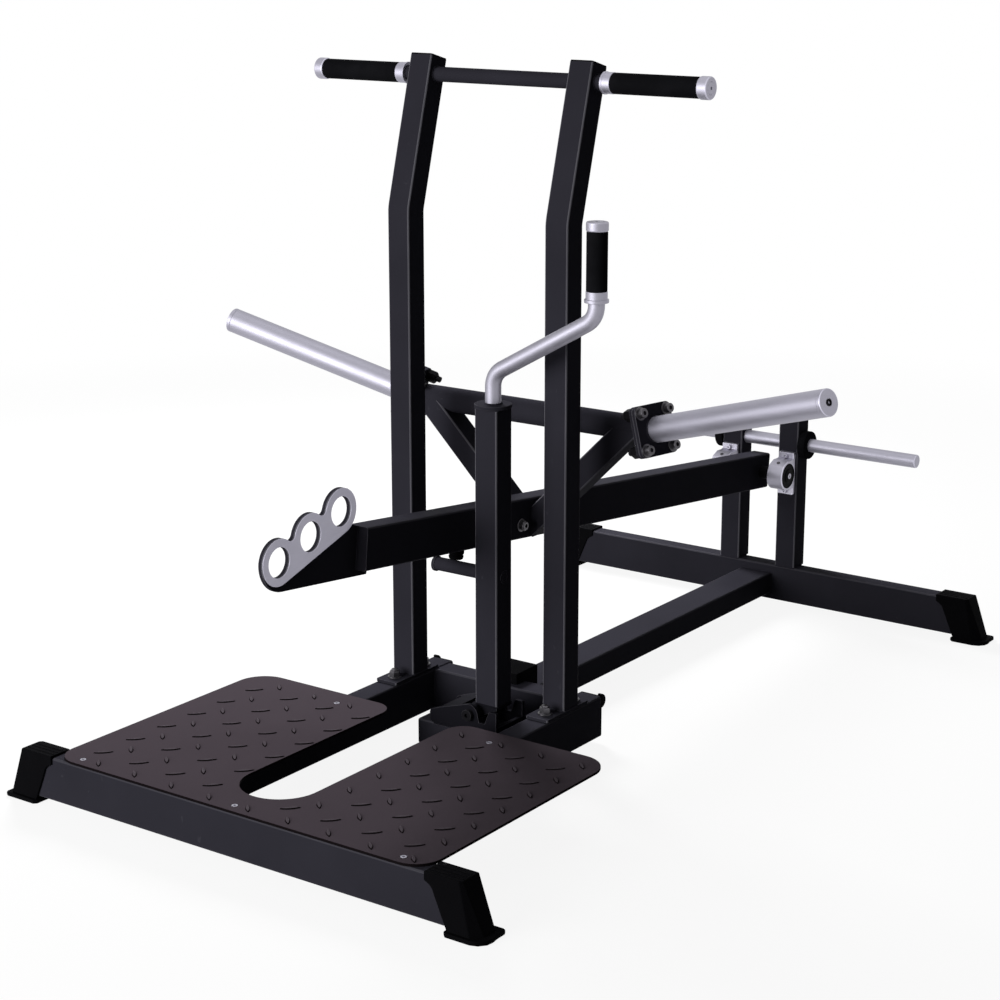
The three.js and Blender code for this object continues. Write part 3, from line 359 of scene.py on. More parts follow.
def powder_coat(name, tone, scratch_and_highlight_tone, sheen, slot="coated_steel"):
    """Cured powder: a fine orange peel, soft clouds of tone, a few hair scratches, and corner faces painted
    lighter as a painted highlight.
    """
    material, place = new_finish(name)
    cloud, peel = orange_peel(place)
    hair = grain(place, 70, 3, (1, 14, 0.5)).within(0.68, 0.76) * grain(place, 9, 1).within(0.5, 0.62)
    corner = face_mark(place, "corner")
    clouded = shades(cloud, toned(tone, 0.9), toned(tone, 1.1))
    # Painted highlight: the corner faces are painted towards the lighter tone. The hair scratches that share
    # that tone are real wear.
    scratched_and_highlighted = shades(hair * 0.15 | corner * (0.75 + 0.25 * cloud), clouded, toned(scratch_and_highlight_tone))
    roughness = 0.36 + 0.1 * cloud + 0.08 * peel - 0.06 * corner
    cover(place, scratched_and_highlighted, roughness, relief(peel, 0.00016, 0.55), sheen)
    return material, slot


# The second tone serves both the hair scratches and the painted corner highlight.
coat = powder_coat("violet_grey_powder_coat", (0.029, 0.028, 0.0365), (0.15, 0.147, 0.168), 0.002)

both_sides = ((-1, "left"), (1, "right"))
beam_low, beam_middle, beam_high = 0.012, 0.054, 0.096
beam_half = (beam_high - beam_low) / 2
front_low, front_y, front_high, front_reach = -0.938, -0.918, -0.898, 0.485
rear_low, rear_y, rear_high, rear_reach = 0.89, 0.91, 0.93, 0.52
front_beam = tube_bar((-front_reach, front_low, beam_low), (front_reach, front_high, beam_high), 0)
rear_beam = tube_bar((-rear_reach, rear_low, beam_low), (rear_reach, rear_high, beam_high), 0)
piece("front_beam_tube", [front_beam], coat, "frame", "front_cross_beam")
piece("rear_beam_tube", [rear_beam], coat, "frame", "rear_cross_beam")

rail_in, rail_x, rail_out, rail_rear = 0.155, 0.18, 0.205, -0.093
mid_front, mid_y, mid_rear = -0.151, -0.126, -0.101
tube_half = 0.025
for side, name in both_sides:
    low_x, high_x = sorted((side * rail_in, side * rail_out))
    shapes = [
        tube_bar((low_x, front_high, beam_low), (high_x, rail_rear, beam_high), 1),
        bead_round((side * rail_x, front_high, beam_middle), "y", tube_half, beam_half),
        bead_round((side * rail_in, mid_y, beam_middle), "x", tube_half, beam_half),
    ]
    piece(f"{name}_rail_tube", shapes, coat, "frame", f"{name}_platform_rail")
mid_tube = tube_bar((-rail_in, mid_front, beam_low), (rail_in, mid_rear, beam_high), 0)
piece("mid_beam_tube", [mid_tube], coat, "frame", "mid_cross_beam")

center_half, center_low, center_middle, center_high = 0.04, 0.027, 0.052, 0.077
center_shapes = [tube_bar((-center_half, mid_rear, center_low), (center_half, rear_low, center_high), 1)]
for y in (mid_rear, rear_low):
    center_shapes.append(bead_round((0, y, center_middle), "y", center_half, tube_half))
piece("center_beam_tube", center_shapes, coat, "frame", "rear_center_beam")


# Rail plugs: black moulded plugs pressed into the rear ends of the rails. Each has a rim that
# covers the tube's wall and a small round ear on its outer side.

def arc(middle, radius, start, end, cuts):
    """Points along an arc, its angles in degrees."""
    steps = [math.radians(start + (end - start) * k / cuts) for k in range(cuts + 1)]
    return [(middle[0] + radius * math.cos(a), middle[1] + radius * math.sin(a)) for a in steps]


def rounded(width, height, radius, middle=(0, 0), cuts=6):
    """The outline of a rectangle with round corners."""
    outline = []
    for u, v, start in ((1, 1, 0), (-1, 1, 90), (-1, -1, 180), (1, -1, 270)):
        center = (middle[0] + u * (width / 2 - radius), middle[1] + v * (height / 2 - radius))
        outline += arc(center, radius, start, start + 90, cuts)
    return outline


def looped(bm, points):
    return [bm.edges.new(pair) for pair in zip(points, points[1:] + points[:1])]


def pulled(bm, shift):
    """Pulls a flat shape into a solid, and gives the vertices that moved."""
    grown = bmesh.ops.extrude_face_region(bm, geom=list(bm.faces))["geom"]
    moved = only(bmesh.types.BMVert, grown)
    bmesh.ops.translate(bm, vec=shift, verts=moved)
    return moved


def cut_plate(outline, thickness, laid, ease, holes=(), segments=2):
    """Sheet or block cut to an outline, with holes, its rims broken. It is laid by a matrix."""
    bm = bmesh.new()
    for loop in (outline, *holes):
        looped(bm, [bm.verts.new((u, v, 0)) for u, v in loop])
    merged(bm)
    bmesh.ops.triangle_fill(bm, edges=list(bm.edges), use_beauty=True)
    bmesh.ops.dissolve_limit(bm, angle_limit=0.01, verts=bm.verts, edges=bm.edges)
    pulled(bm, (0, 0, thickness))
    bmesh.ops.recalc_face_normals(bm, faces=bm.faces)
    lips = [e for e in bm.edges if abs(e.link_faces[0].normal.z - e.link_faces[1].normal.z) > 0.5]
    bevelled(bm, lips, ease, segments)
    bmesh.ops.transform(bm, matrix=laid, verts=bm.verts)
    return bm


def moulded(name, tone):
    """Injection moulded plastic: a spark-eroded grain, faint flow clouds and rubbed spots."""
    material, place = new_finish(name)
    cloud = grain(place, 12, 3).within(0.3, 0.72)
    skin = grain(place, 1500, 1)
    rubbed = grain(place, 60, 5).within(0.62, 0.8)
    clouded = shades(cloud, toned(tone, 0.82), toned(tone))
    colour = shades(rubbed * 0.5, clouded, toned(tone, 1.5))
    roughness = 0.45 + 0.12 * skin - 0.1 * rubbed
    cover(place, colour, roughness, relief(skin, 0.00012, 0.5), sheen=0.004)
    return material, "black_plastic"


plastic = moulded("black_moulded_plastic", (0.0043, 0.0042, 0.005))

plug_rim, ear_round, ear_thick, ear_z = 0.004, 0.014, 0.01, 0.085
plug_rear = rail_rear + plug_rim
ear_outline = [(plug_rear, ear_z - ear_round)] + arc((plug_rear, ear_z), ear_round, -88, 88, 14) + [
    (plug_rear, ear_z + ear_round)]
for side, name in both_sides:
    rim_laid = facing("y", (side * rail_x, plug_rear, beam_middle))
    rim = cut_plate(rounded(2 * tube_half, 2 * beam_half, 0.005), plug_rim, rim_laid, 0.0012)
    ear_x = rail_out - ear_thick if side > 0 else -rail_out
    ear = cut_plate(ear_outline, ear_thick, facing("x", (ear_x, 0, 0)), 0.0015)
    piece(f"{name}_rail_end", [rim, ear], plastic, "frame", f"{name}_rail_plug")


# Feet: four black plastic caps over the ends of the cross beams. Each leans outward onto a wider
# sole, has three moulding ribs on its top and is held by one small screw from above.

foot_depth, foot_length, foot_low, foot_top = 0.048, 0.075, 0.003, 0.1


def foot_shapes(side, y, beam_end):
    """The cap with one tapered facet, its sole with one curved end, and the three ribs."""
    outer_top = beam_end + 0.011
    inner_top = outer_top - foot_length
    outer_sole, inner_sole = outer_top + 0.034, inner_top + 0.046
    notch = arc((inner_top - 0.004, 0.06), 0.0236, 70, 14, 6)
    outline = [(inner_top, foot_top), (inner_top, 0.0845)] + notch + [
        (inner_sole, foot_low), (outer_sole, foot_low), (outer_top, foot_top)]
    cap = bmesh.new()
    cap.faces.new([cap.verts.new((side * u, y - foot_depth / 2, v)) for u, v in outline])
    pulled(cap, (0, foot_depth, 0))
    bmesh.ops.recalc_face_normals(cap, faces=cap.faces)

    facet_y = y - side * foot_depth / 2
    tips = {v for v in cap.verts if abs(v.co.x) > outer_top - 1e-4 and abs(v.co.y - facet_y) < 1e-4}
    bevelled(cap, [e for e in cap.edges if set(e.verts) == tips], 0.018, 1)
    top_corner = Vector((side * outer_top, facet_y, foot_top))
    for vert in cap.verts:
        if vert.co.z > 0.09 and (vert.co - top_corner).length < 0.02:
            vert.co = top_corner.lerp(vert.co, 0.3)
    bevelled(cap, [e for e in cap.edges if e.calc_face_angle() > 0.6], 0.0018, 3)

    inner, outer = inner_sole - 0.006, outer_sole + 0.009
    near, far = -0.035, 0.035
    sole_outline = [
        (inner + 0.006, near), (outer - 0.024, near), (outer - 0.01, near + 0.005),
        (outer, near + 0.017), (outer + 0.002, near + 0.03), (outer, near + 0.045),
        (outer, far - 0.006), (outer - 0.002, far - 0.002), (outer - 0.006, far),
        (inner + 0.006, far), (inner, far - 0.006), (inner, near + 0.006),
    ]
    sole_middle = y + 0.004
    laid_outline = [(side * u, sole_middle + side * v) for u, v in sole_outline]
    sole = cut_plate(laid_outline, 0.008, facing("z"), 0.0018, segments=3)

    rib_outline = rounded(foot_length - 0.008, 0.0024, 0.001)
    rib_x = side * (outer_top + inner_top) / 2
    ribs = [
        cut_plate(rib_outline, 0.0016, facing("z", (rib_x, y + shift, foot_top - 0.0008)), 0.0004)
        for shift in (-0.0125, -0.002, 0.0085)
    ]
    return [cap, sole] + ribs


foot_screws = []
for row, y, beam_end in (("front", front_y, front_reach), ("rear", rear_y, rear_reach)):
    for side, name in both_sides:
        shapes = foot_shapes(side, y, beam_end)
        piece(f"{row}_{name}_foot_cap", shapes, plastic, "frame", f"{row}_{name}_foot")
        foot_screws.append((side * (beam_end - 0.05), y + 0.0155, foot_top))


# Screws and bolts: one small oil-black socket screw holds each foot. Four blackened bolts hold the
# two uprights on the rails, each with a washer and a tall nut that its threaded end stands out of.

def turned(profile, way=(0, 0, 1), place=(0, 0, 0), steps=48, socket=0.0):
    """A profile of radius and distance turned about an axis. A socket's radius is made hexagonal."""
    bm = bmesh.new()
    points = [bm.verts.new((radius, 0, distance)) for radius, distance in profile]
    edges = [bm.edges.new(pair) for pair in zip(points, points[1:])]
    bmesh.ops.spin(
        bm, geom=points + edges, cent=(0, 0, 0), axis=(0, 0, 1), angle=2 * math.pi, steps=steps,
        use_merge=True)
    merged(bm)
    if socket:
        for vert in bm.verts:
            if abs(vert.co.xy.length - socket) < 1e-5:
                turn = math.degrees(math.atan2(vert.co.y, vert.co.x))
                grow = 0.92 / math.cos(math.radians((turn + 30) % 60 - 30))
                vert.co.x, vert.co.y = vert.co.x * grow, vert.co.y * grow
    bmesh.ops.recalc_face_normals(bm, faces=bm.faces)
    laid = Matrix.Translation(place) @ pointing(way).to_matrix().to_4x4()
    bmesh.ops.transform(bm, matrix=laid, verts=bm.verts)
    return bm


def eased(profile, ease, cuts=3):
    """The profile with its corners rounded off."""
    soft = [tuple(profile[0])]
    for before, here, after in zip(profile, profile[1:], profile[2:]):
        a, b, c = Vector(before), Vector(here), Vector(after)
        back = b + (a - b).normalized() * min(ease, (a - b).length * 0.45)
        on = b + (c - b).normalized() * min(ease, (c - b).length * 0.45)
        for t in (k / cuts for k in range(cuts + 1)):
            soft.append(tuple(back * (1 - t) ** 2 + b * 2 * t * (1 - t) + on * t ** 2))
    return soft + [tuple(profile[-1])]


def stepped(*steps):
    """A profile of square steps: its values are a radius and a distance by turns."""
    return [(steps[k + k % 2], steps[k + 1 - k % 2]) for k in range(len(steps) - 1)]


def turned_ring(profile, ease, way, place, steps=64, cuts=3):
    """A ring, its profile eased and then closed on its first point."""
    return turned(eased(profile, ease, cuts) + [profile[0]], way, place, steps)


def socket_head(radius, height, socket, way, place, foot=0.0):
    """A socket cap screw's head, standing on a foot level."""
    rim = eased([(socket, height), (radius, height), (radius, -foot)], radius * 0.12)
    floor_level = height - socket * 1.1
    inside = [(0, floor_level), (socket, floor_level), (socket, height - 0.0004)]
    return turned(inside + rim + [(0, -foot)], way, place, 24, socket)


def hexagon_head(radius, height, way, place):
    """A hexagon head or nut with a turned chamfer on top."""
    profile = [(0, height), (radius * 0.84, height), (radius, height * 0.84), (radius, 0), (0, 0)]
    return turned(profile, way, place, 6)


def washer(radius, bore, thickness, way, place):
    ring = [(bore, 0), (bore, thickness), (radius, thickness), (radius, 0)]
    return turned_ring(ring, thickness * 0.3, way, place, 36, 2)


def bolted(radius, height, socket, ring, way, place):
    """A head on its washer, hexagonal where it has no socket. The ring is radius, bore, thickness."""
    seat = Vector(place) + Vector(way) * ring[2]
    if socket:
        return [washer(*ring, way, place), socket_head(radius, height, socket, way, seat)]
    return [washer(*ring, way, place), hexagon_head(radius, height, way, seat)]


def metal(name, tone, dull, streak=(1, 1, 1), turn=(0, 0, 0), fineness=1.0, slot="bright_steel"):
    """Bright or blackened steel: streaks drawn along one axis, handling marks, and corners painted lighter as
    a painted highlight.
    """
    material, place = new_finish(name)
    fine = grain(place, 700, 3, streak, turn)
    broad = grain(place, 90 * fineness, 3, streak, turn)
    smear = grain(place, 14, 4).within(0.35, 0.75)
    ding = grain(place, 170, 2).within(0.7, 0.82)
    drawn = shades(0.45 * fine + 0.55 * broad, toned(tone, 0.86), toned(tone, 1.1))
    dinged = shades(ding * 0.5, drawn, toned(tone, 0.86))
    # Painted highlight: the corner faces are painted much lighter than the steel.
    colour = shades(face_mark(place, "corner") * 0.8, dinged, toned(tone, 1.8))
    bumps = relief(fine * 0.6 + ding * -0.4, 0.00007, 0.5)
    cover(place, colour, dull + 0.12 * broad + 0.08 * smear, bumps)
    return material, slot


black_steel = metal("blackened_bolt_steel", (0.085, 0.082, 0.09), 0.3, slot="blackened_steel")
sooty_steel = powder_coat(
    "oil_black_steel", (0.0085, 0.0082, 0.0098), (0.07, 0.068, 0.076), 0.02, "blackened_steel")

screws = [socket_head(0.0034, 0.0006, 0.0017, (0, 0, 1), place, 0.002) for place in foot_screws]
piece("foot_screws", screws, sooty_steel, "frame")

base_top, washer_thick, nut_tall = 0.102, 0.0025, 0.011
base_bolt_rows = (-0.2495, -0.1545)
bolt_end = eased(stepped(0, 0.004, 0.006, -0.002, 0), 0.001)
base_bolts = []
for x in (-rail_x, rail_x):
    for y in base_bolt_rows:
        base_bolts += bolted(0.0112, nut_tall, 0, (0.0135, 0.005, washer_thick), (0, 0, 1), (x, y, base_top))
        base_bolts.append(turned(bolt_end, (0, 0, 1), (x, y, base_top + washer_thick + nut_tall), 24))
piece("upright_base_bolts", base_bolts, black_steel, "frame")


# Foot plate: five-millimetre chequered steel sheet with a deep slot from the rear for the belt's
# strap, round corners, a brown-black coat and five countersunk socket screws.

plate_top = 0.101
plate_half, plate_front, plate_rear = 0.418, -0.9395, -0.381
front_round, rear_round, lobe_round, slot_half = 0.05, 0.058, 0.04, 0.075
slot_end = -0.794
right_edge = (
    arc((plate_half - front_round, plate_front + front_round), front_round, -90, 0, 16)
    + arc((plate_half - rear_round, plate_rear - rear_round), rear_round, 0, 90, 18)
    + arc((slot_half + lobe_round, plate_rear - lobe_round), lobe_round, 90, 180, 14)
)
left_edge = [(-x, y) for x, y in right_edge[::-1]]
plate_outline = right_edge + arc((0, slot_end), slot_half, 0, -180, 40) + left_edge
screw_places = [(x, front_y) for x in (-0.363, 0, 0.363)] + [(x, -0.429) for x in (-rail_x, rail_x)]
screw_radius = 0.0058
screw_holes = [arc(place, screw_radius + 0.0004, 0, 352.5, 47) for place in screw_places]
plate_laid = facing("z", (0, 0, beam_high))
plate_sheet = cut_plate(plate_outline, plate_top - beam_high, plate_laid, 0.0006, screw_holes)

bar_height, bar_half = 0.002, 0.0045


def raised_bar(x, y, turn, length):
    """One rolled bar of the sheet: pointed at both ends, with steep sides and a rounded top."""
    bow = (length ** 2 / 4 + bar_half ** 2) / (2 * bar_half)
    swing = math.degrees(math.asin(length / 2 / bow))
    outline = arc((0, bar_half - bow), bow, 90 - swing, 90 + swing, 8)[:-1]
    outline += arc((0, bow - bar_half), bow, 270 - swing, 270 + swing, 8)[:-1]
    bm = bmesh.new()
    bm.faces.new([bm.verts.new((u, v, 0)) for u, v in outline])
    top = pulled(bm, (0, 0, bar_height))
    bmesh.ops.scale(bm, vec=(0.93, 0.68, 1), verts=top)
    bmesh.ops.recalc_face_normals(bm, faces=bm.faces)
    bevelled(bm, [e for e in bm.edges if min(v.co.z for v in e.verts) > bar_height / 2], 0.0009)
    laid = Matrix.Translation((x, y, plate_top)) @ Matrix.Rotation(math.radians(turn), 4, "Z")
    bmesh.ops.transform(bm, matrix=laid, verts=bm.verts)
    return bm


def on_sheet(x, y, margin):
    """True where a bar fits between the sheet's edges, its slot and its screws."""
    if abs(x) > plate_half - margin or not plate_front + margin < y < plate_rear - margin:
        return False
    for edge_y, inward, round_in in ((plate_front, 1, front_round), (plate_rear, -1, rear_round)):
        dx = abs(x) - (plate_half - round_in)
        dy = (edge_y + inward * round_in - y) * inward
        if dx > 0 and dy > 0 and math.hypot(dx, dy) > round_in - margin:
            return False
    beside_slot = y > slot_end and abs(x) < slot_half + margin
    if beside_slot or math.hypot(x, y - slot_end) < slot_half + margin:
        return False
    return all(math.hypot(x - u, y - v) > screw_radius + 0.013 for u, v in screw_places)


column_step, row_step = 0.0885, 0.0814
bar_rows = (((-0.3565, -0.874), 45, 0.036, 0.016), ((-0.3255, -0.917), 135, 0.031, 0.014))
bars = []
for column in range(-1, 10):
    for row in range(-1, 8):
        for first, turn, length, margin in bar_rows:
            x, y = first[0] + column_step * column, first[1] + row_step * row
            if on_sheet(x, y, margin):
                bars.append(raised_bar(x, y, turn, length))


def tread_finish(tone, rubbed, slope_shade_tone):
    """Brown-black coat, rubbed lighter on the bars' backs, with painted shade on all faces that are not
    level: the bars' slopes and the sheet's rims.
    """
    material, place = new_finish("brown_black_tread_coat")
    cloud, peel = orange_peel(place)
    level = face_mark(place, "level").within(0.8, 0.97)
    height = place.node("ShaderNodeSeparateXYZ", inputs={0: place}, output="Z")
    bar_back = height.within(plate_top + 0.0012, plate_top + bar_height)
    clouded = shades(cloud, toned(tone), toned(tone, 1.1))
    walked = shades(bar_back * (0.5 + 0.5 * cloud), clouded, toned(rubbed))
    # Painted shade: faces that are not level take the near-black third tone.
    colour = shades(level, toned(slope_shade_tone), walked)
    cover(place, colour, 0.4 + 0.1 * cloud + 0.08 * peel, relief(peel, 0.00016, 0.55), sheen=0.001)
    return material, "tread_plate"


# The third tone is painted shade for the bars' slopes and the sheet's rims.
tread_coat = tread_finish((0.056, 0.0455, 0.054), (0.078, 0.067, 0.077), (0.008, 0.006, 0.007))
piece("chequered_foot_plate", [plate_sheet] + bars, tread_coat, "frame", "foot_plate")

zinc = metal("zinc_screw_steel", (0.4, 0.39, 0.45), 0.45)


def countersunk(x, y):
    depth, socket, head_depth = 0.0032, 0.0027, 0.0045
    inside = [(0, -depth), (socket, -depth), (socket, -0.0003)]
    rim = eased([(socket, 0), (screw_radius, 0), (0.0035, -head_depth)], 0.0005)
    return turned(inside + rim + [(0, -head_depth)], (0, 0, 1), (x, y, plate_top), 24, socket)


plate_screws = [countersunk(x, y) for x, y in screw_places]
piece("foot_plate_screws", plate_screws, zinc, "frame")


# Uprights: square tubes, each bent back once near the top and welded onto a base plate that is
# bolted to its rail. A black plastic plug closes the top of each tube.

upright_y, bend_z, top_z = -0.197, 1.027, 1.305
lean = math.radians(15.2)
bend_round = 0.03 + tube_half
bend_middle = bend_z - tube_half * math.tan(lean / 2)
bend_start = bend_middle - bend_round * math.tan(lean / 2)
upper_run = (top_z - bend_z) / math.cos(lean)
straight_run = upper_run - bend_round * math.tan(lean / 2)
tip_y = upright_y + math.sin(lean) * upper_run
tip_z = bend_middle + math.cos(lean) * upper_run


def bent_upright(x):
    """A round-cornered square carried up from the base plate, round the bend and on to its top."""
    bm = bmesh.new()
    square = rounded(2 * tube_half, 2 * tube_half, 0.004)
    ring = looped(bm, [bm.verts.new((x + u, upright_y + v, base_top)) for u, v in square])
    bmesh.ops.holes_fill(bm, edges=ring, sides=0)

    def grown(edges, shift):
        geom = bmesh.ops.extrude_edge_only(bm, edges=edges)["geom"]
        bmesh.ops.translate(bm, vec=shift, verts=only(bmesh.types.BMVert, geom))
        return [edge for edge in only(bmesh.types.BMEdge, geom) if edge.is_boundary]

    ring = grown(ring, (0, 0, bend_start - base_top))
    verts = list({vert for edge in ring for vert in edge.verts})
    bend_center = (x, upright_y + bend_round, bend_start)
    last = bmesh.ops.spin(
        bm, geom=verts + ring, cent=bend_center, axis=(-1, 0, 0), angle=lean, steps=10,
        use_merge=False)["geom_last"]
    ring = grown(
        only(bmesh.types.BMEdge, last), (0, math.sin(lean) * straight_run, math.cos(lean) * straight_run))
    bmesh.ops.holes_fill(bm, edges=ring, sides=0)
    merged(bm)
    bmesh.ops.recalc_face_normals(bm, faces=bm.faces)
    return bm


def tube_plug(laid):
    """A plug for a square tube's end: a cap with round edges and a slightly raised crown."""
    crown_laid = laid @ Matrix.Translation((0, 0, 0.0022))
    cap = cut_plate(rounded(2 * tube_half, 2 * tube_half, 0.005), 0.0025, laid, 0.0011, segments=3)
    return [cap, cut_plate(rounded(0.042, 0.042, 0.004), 0.0008, crown_laid, 0.0004)]


for side, name in both_sides:
    x = side * rail_x
    base_holes = [arc((x, y), 0.0053, 0, 337.5, 15) for y in base_bolt_rows]
    base_outline = rounded(2 * tube_half, 0.14, 0.004, (x, -0.207))
    shapes = [
        bent_upright(x),
        cut_plate(base_outline, base_top - beam_high, facing("z", (0, 0, beam_high)), 0.0008, base_holes),
        bead_round((x, upright_y, base_top), "z", tube_half, tube_half),
    ]
    piece(f"{name}_upright_tube", shapes, coat, "frame", f"{name}_upright")
    tipped = Matrix.Translation((x, tip_y, tip_z)) @ Matrix.Rotation(-lean, 4, "X")
    plug = tube_plug(tipped)
    piece(f"{name}_upright_cap", plug, plastic, "frame", f"{name}_upright_plug")


# Handle bar: a round tube through both uprights and welded to them, with a rubber grip on each end
# between a turned collar and a turned end cap, both of satin steel.

bar_z, bar_radius, grip_start, grip_end, bar_end = 1.271, 0.014, 0.241, 0.42, 0.44
bar_y = upright_y + (bar_z - bend_middle) * math.tan(lean)
bar_middle = (0, bar_y, bar_z)
bar_tube = turned([(bar_radius, -grip_end), (bar_radius, grip_end)], (1, 0, 0), bar_middle)
open_ends_closed(bar_tube)


def ring_bead(middle, way, radius, bead_radius=0.0022):
    """A bead around a round tube where it meets a face."""
    turn = pointing(way).to_matrix()
    count = 2 * round(math.pi * radius / bead_ripple)
    angles = [2 * math.pi * k / count for k in range(count + 1)]
    points = [Vector((math.cos(a), math.sin(a), 0)) * radius for a in angles]
    return rippled([Vector(middle) + turn @ point for point in points], bead_radius)


bar_welds = [
    ring_bead((side * (rail_x + shift), bar_y, bar_z), (1, 0, 0), bar_radius)
    for side in (-1, 1) for shift in (-tube_half, tube_half)
]
piece("handle_bar_tube", [bar_tube] + bar_welds, coat, "frame", "handle_bar")


def rubbery(name, tone, scale):
    """Black rubber: matt, with a fine moulded skin and a faint bloom of dust."""
    material, place = new_finish(name)
    skin = grain(place, scale, 2)
    bloom = grain(place, 18, 4).within(0.42, 0.8)
    colour = shades(bloom * 0.5, toned(tone), toned(tone, 2.4))
    cover(place, colour, 0.66 + 0.16 * skin + 0.08 * bloom, relief(skin, 0.00022, 0.6), sheen=0.004)
    return material, "black_rubber"


def grip_sleeve(bore, start, end, way, place):
    return turned_ring(stepped(bore, start, 0.019, end, bore), 0.002, way, place, cuts=4)


rubber = rubbery("black_grip_rubber", (0.0066, 0.0066, 0.0078), 900)
satin_tone = (0.36, 0.352, 0.412)
satin_across = metal("satin_steel_across", satin_tone, 0.42, (0.05, 1, 1))

for side, name in both_sides:
    way, bore = (side, 0, 0), 0.0145
    lip = stepped(bore, 0.221, 0.0205, 0.225, 0.0195, grip_start, bore)
    collar = turned_ring(lip, 0.0007, way, bar_middle)
    piece(f"{name}_collar", [collar], satin_across, "frame", f"{name}_grip_collar")
    grip = grip_sleeve(bore, grip_start, grip_end, way, bar_middle)
    piece(f"{name}_grip_rubber", [grip], rubber, "frame", f"{name}_handle_grip")
    center = stepped(0, 0.4376, 0.0028, bar_end, 0.0105) + [(0.0115, 0.4391)]
    knob = eased(stepped(0.0125, bar_end, 0.0205, grip_end, 0), 0.003, 5)
    cap = turned(center + knob, way, bar_middle, 64)
    piece(f"{name}_grip_cap", [cap], satin_across, "frame", f"{name}_grip_end_cap")


# Rear posts: two square tubes welded on the rear beam. A satin steel rod through both stores spare
# plates, which lean on two thick rubber collars. Plastic plugs close the posts.

post_x, post_y, post_front, post_rear, post_top = 0.073, 0.915, 0.89, 0.94, 0.445
rod_middle, rod_reach, rod_radius = (0, post_y, 0.387), 0.382, 0.015
for side, name in both_sides:
    x = side * post_x
    low, high = (x - tube_half, post_front, beam_high), (x + tube_half, post_rear, post_top)
    weld = bead_round((x, rear_y, beam_high), "z", tube_half, 0.0197)
    shapes = [tube_bar(low, high, 2, 0.004), weld]
    piece(f"{name}_post_tube", shapes, coat, "frame", f"{name}_rear_post")
    plug = tube_plug(facing("z", (x, post_y, post_top)))
    piece(f"{name}_post_cap", plug, plastic, "frame", f"{name}_rear_post_plug")
    ring = stepped(0.0153, 0.098, 0.032, 0.117, 0.0153)
    collar = turned_ring(ring, 0.003, (side, 0, 0), rod_middle, cuts=5)
    piece(f"{name}_plate_collar", [collar], rubber, "frame", f"{name}_storage_collar")
rod_profile = eased(stepped(0, -rod_reach, rod_radius, rod_reach, 0), 0.003, 4)
rod = turned(rod_profile, (1, 0, 0), rod_middle)
piece("plate_storage_rod", [rod], satin_across, "frame", "storage_rod")


# Bearings: two cast and machined steel housings bolted to the posts' front faces. Each holds a
# blackened bearing with a raised inner ring, and has a greasing flat with a hole on its top.

pivot_y, pivot_z = 0.858, 0.323
housing_in, housing_x, housing_out = 0.055, 0.074, 0.093
housing_back, ear_face, ear_reach = 0.032, 0.022, 0.049
housing_outline = (
    [(housing_back, -ear_reach), (housing_back, ear_reach), (ear_face, ear_reach), (ear_face, 0.0365)]
    + [(0.014, 0.0345), (-0.0035, 0.0352), (-0.0235, 0.0262)] + arc((0, 0), 0.033, 146, 292, 34)
    + [(ear_face, -0.0345), (ear_face, -ear_reach)]
)
housing_bore = arc((0, 0), 0.0283, 0, 354, 59)
bearing_half = [
    (0.0103, 0.0205), (0.0145, 0.0205), (0.0165, 0.0188), (0.0235, 0.0188), (0.0248, 0.0198), (0.028, 0.0198)]
bearing_profile = [(radius, housing_x - away) for radius, away in bearing_half]
bearing_profile += [(radius, housing_x + away) for radius, away in bearing_half[::-1]]
nipple_profile = eased(stepped(0, -0.001, 0.0012, 0.0012, 0.004, 0), 0.0004)
nipple_way = Vector((0, -0.41, 0.91)).normalized()
cast_steel = metal("machined_housing_steel", (0.4, 0.39, 0.455), 0.4, fineness=0.5)
for side, name in both_sides:
    x = side * housing_x
    laid = facing("x", (housing_in if side > 0 else -housing_out, pivot_y, pivot_z))
    housing = cut_plate(housing_outline, housing_out - housing_in, laid, 0.0016, [housing_bore], 3)
    bolts = []
    for z in (pivot_z - 0.0415, pivot_z + 0.0415):
        seat = (x, pivot_y + ear_face, z)
        bolts += bolted(0.0052, 0.005, 0.0024, (0.0068, 0.003, 0.0012), (0, -1, 0), seat)
    nipple = turned(nipple_profile, nipple_way, (x, pivot_y - 0.0135, pivot_z + 0.0307), 24)
    insert = turned_ring(bearing_profile, 0.0004, (side, 0, 0), (0, pivot_y, pivot_z), 60, 2)
    piece(f"{name}_bearing_block", [housing], cast_steel, "frame", f"{name}_bearing_housing")
    piece(f"{name}_bearing_screws", bolts, cast_steel, "frame")
    piece(f"{name}_grease_nipple", [nipple], black_steel, "frame")
    piece(f"{name}_bearing_ring", [insert], sooty_steel, "frame", f"{name}_bearing_insert")


# Support hinge: a short box tube welded to the right rail carries a laser-cut clevis of two cheeks,
# a folded cover and a stop web. A blackened bolt with a nut runs through it along the machine.

support_y, hinge_front, hinge_rear = -0.284, -0.331, -0.237
stub_left, stub_low, stub_middle, stub_top = -0.059, 0.016, 0.041, 0.066
stub_tube = tube_bar((stub_left, hinge_front, stub_low), (rail_in, hinge_rear, stub_top), 0, 0.004)
stub_weld = bead_round((rail_in, support_y, stub_middle), "x", 0.047, tube_half)
piece("stub_tube", [stub_tube, stub_weld], coat, "frame", "stub_beam")

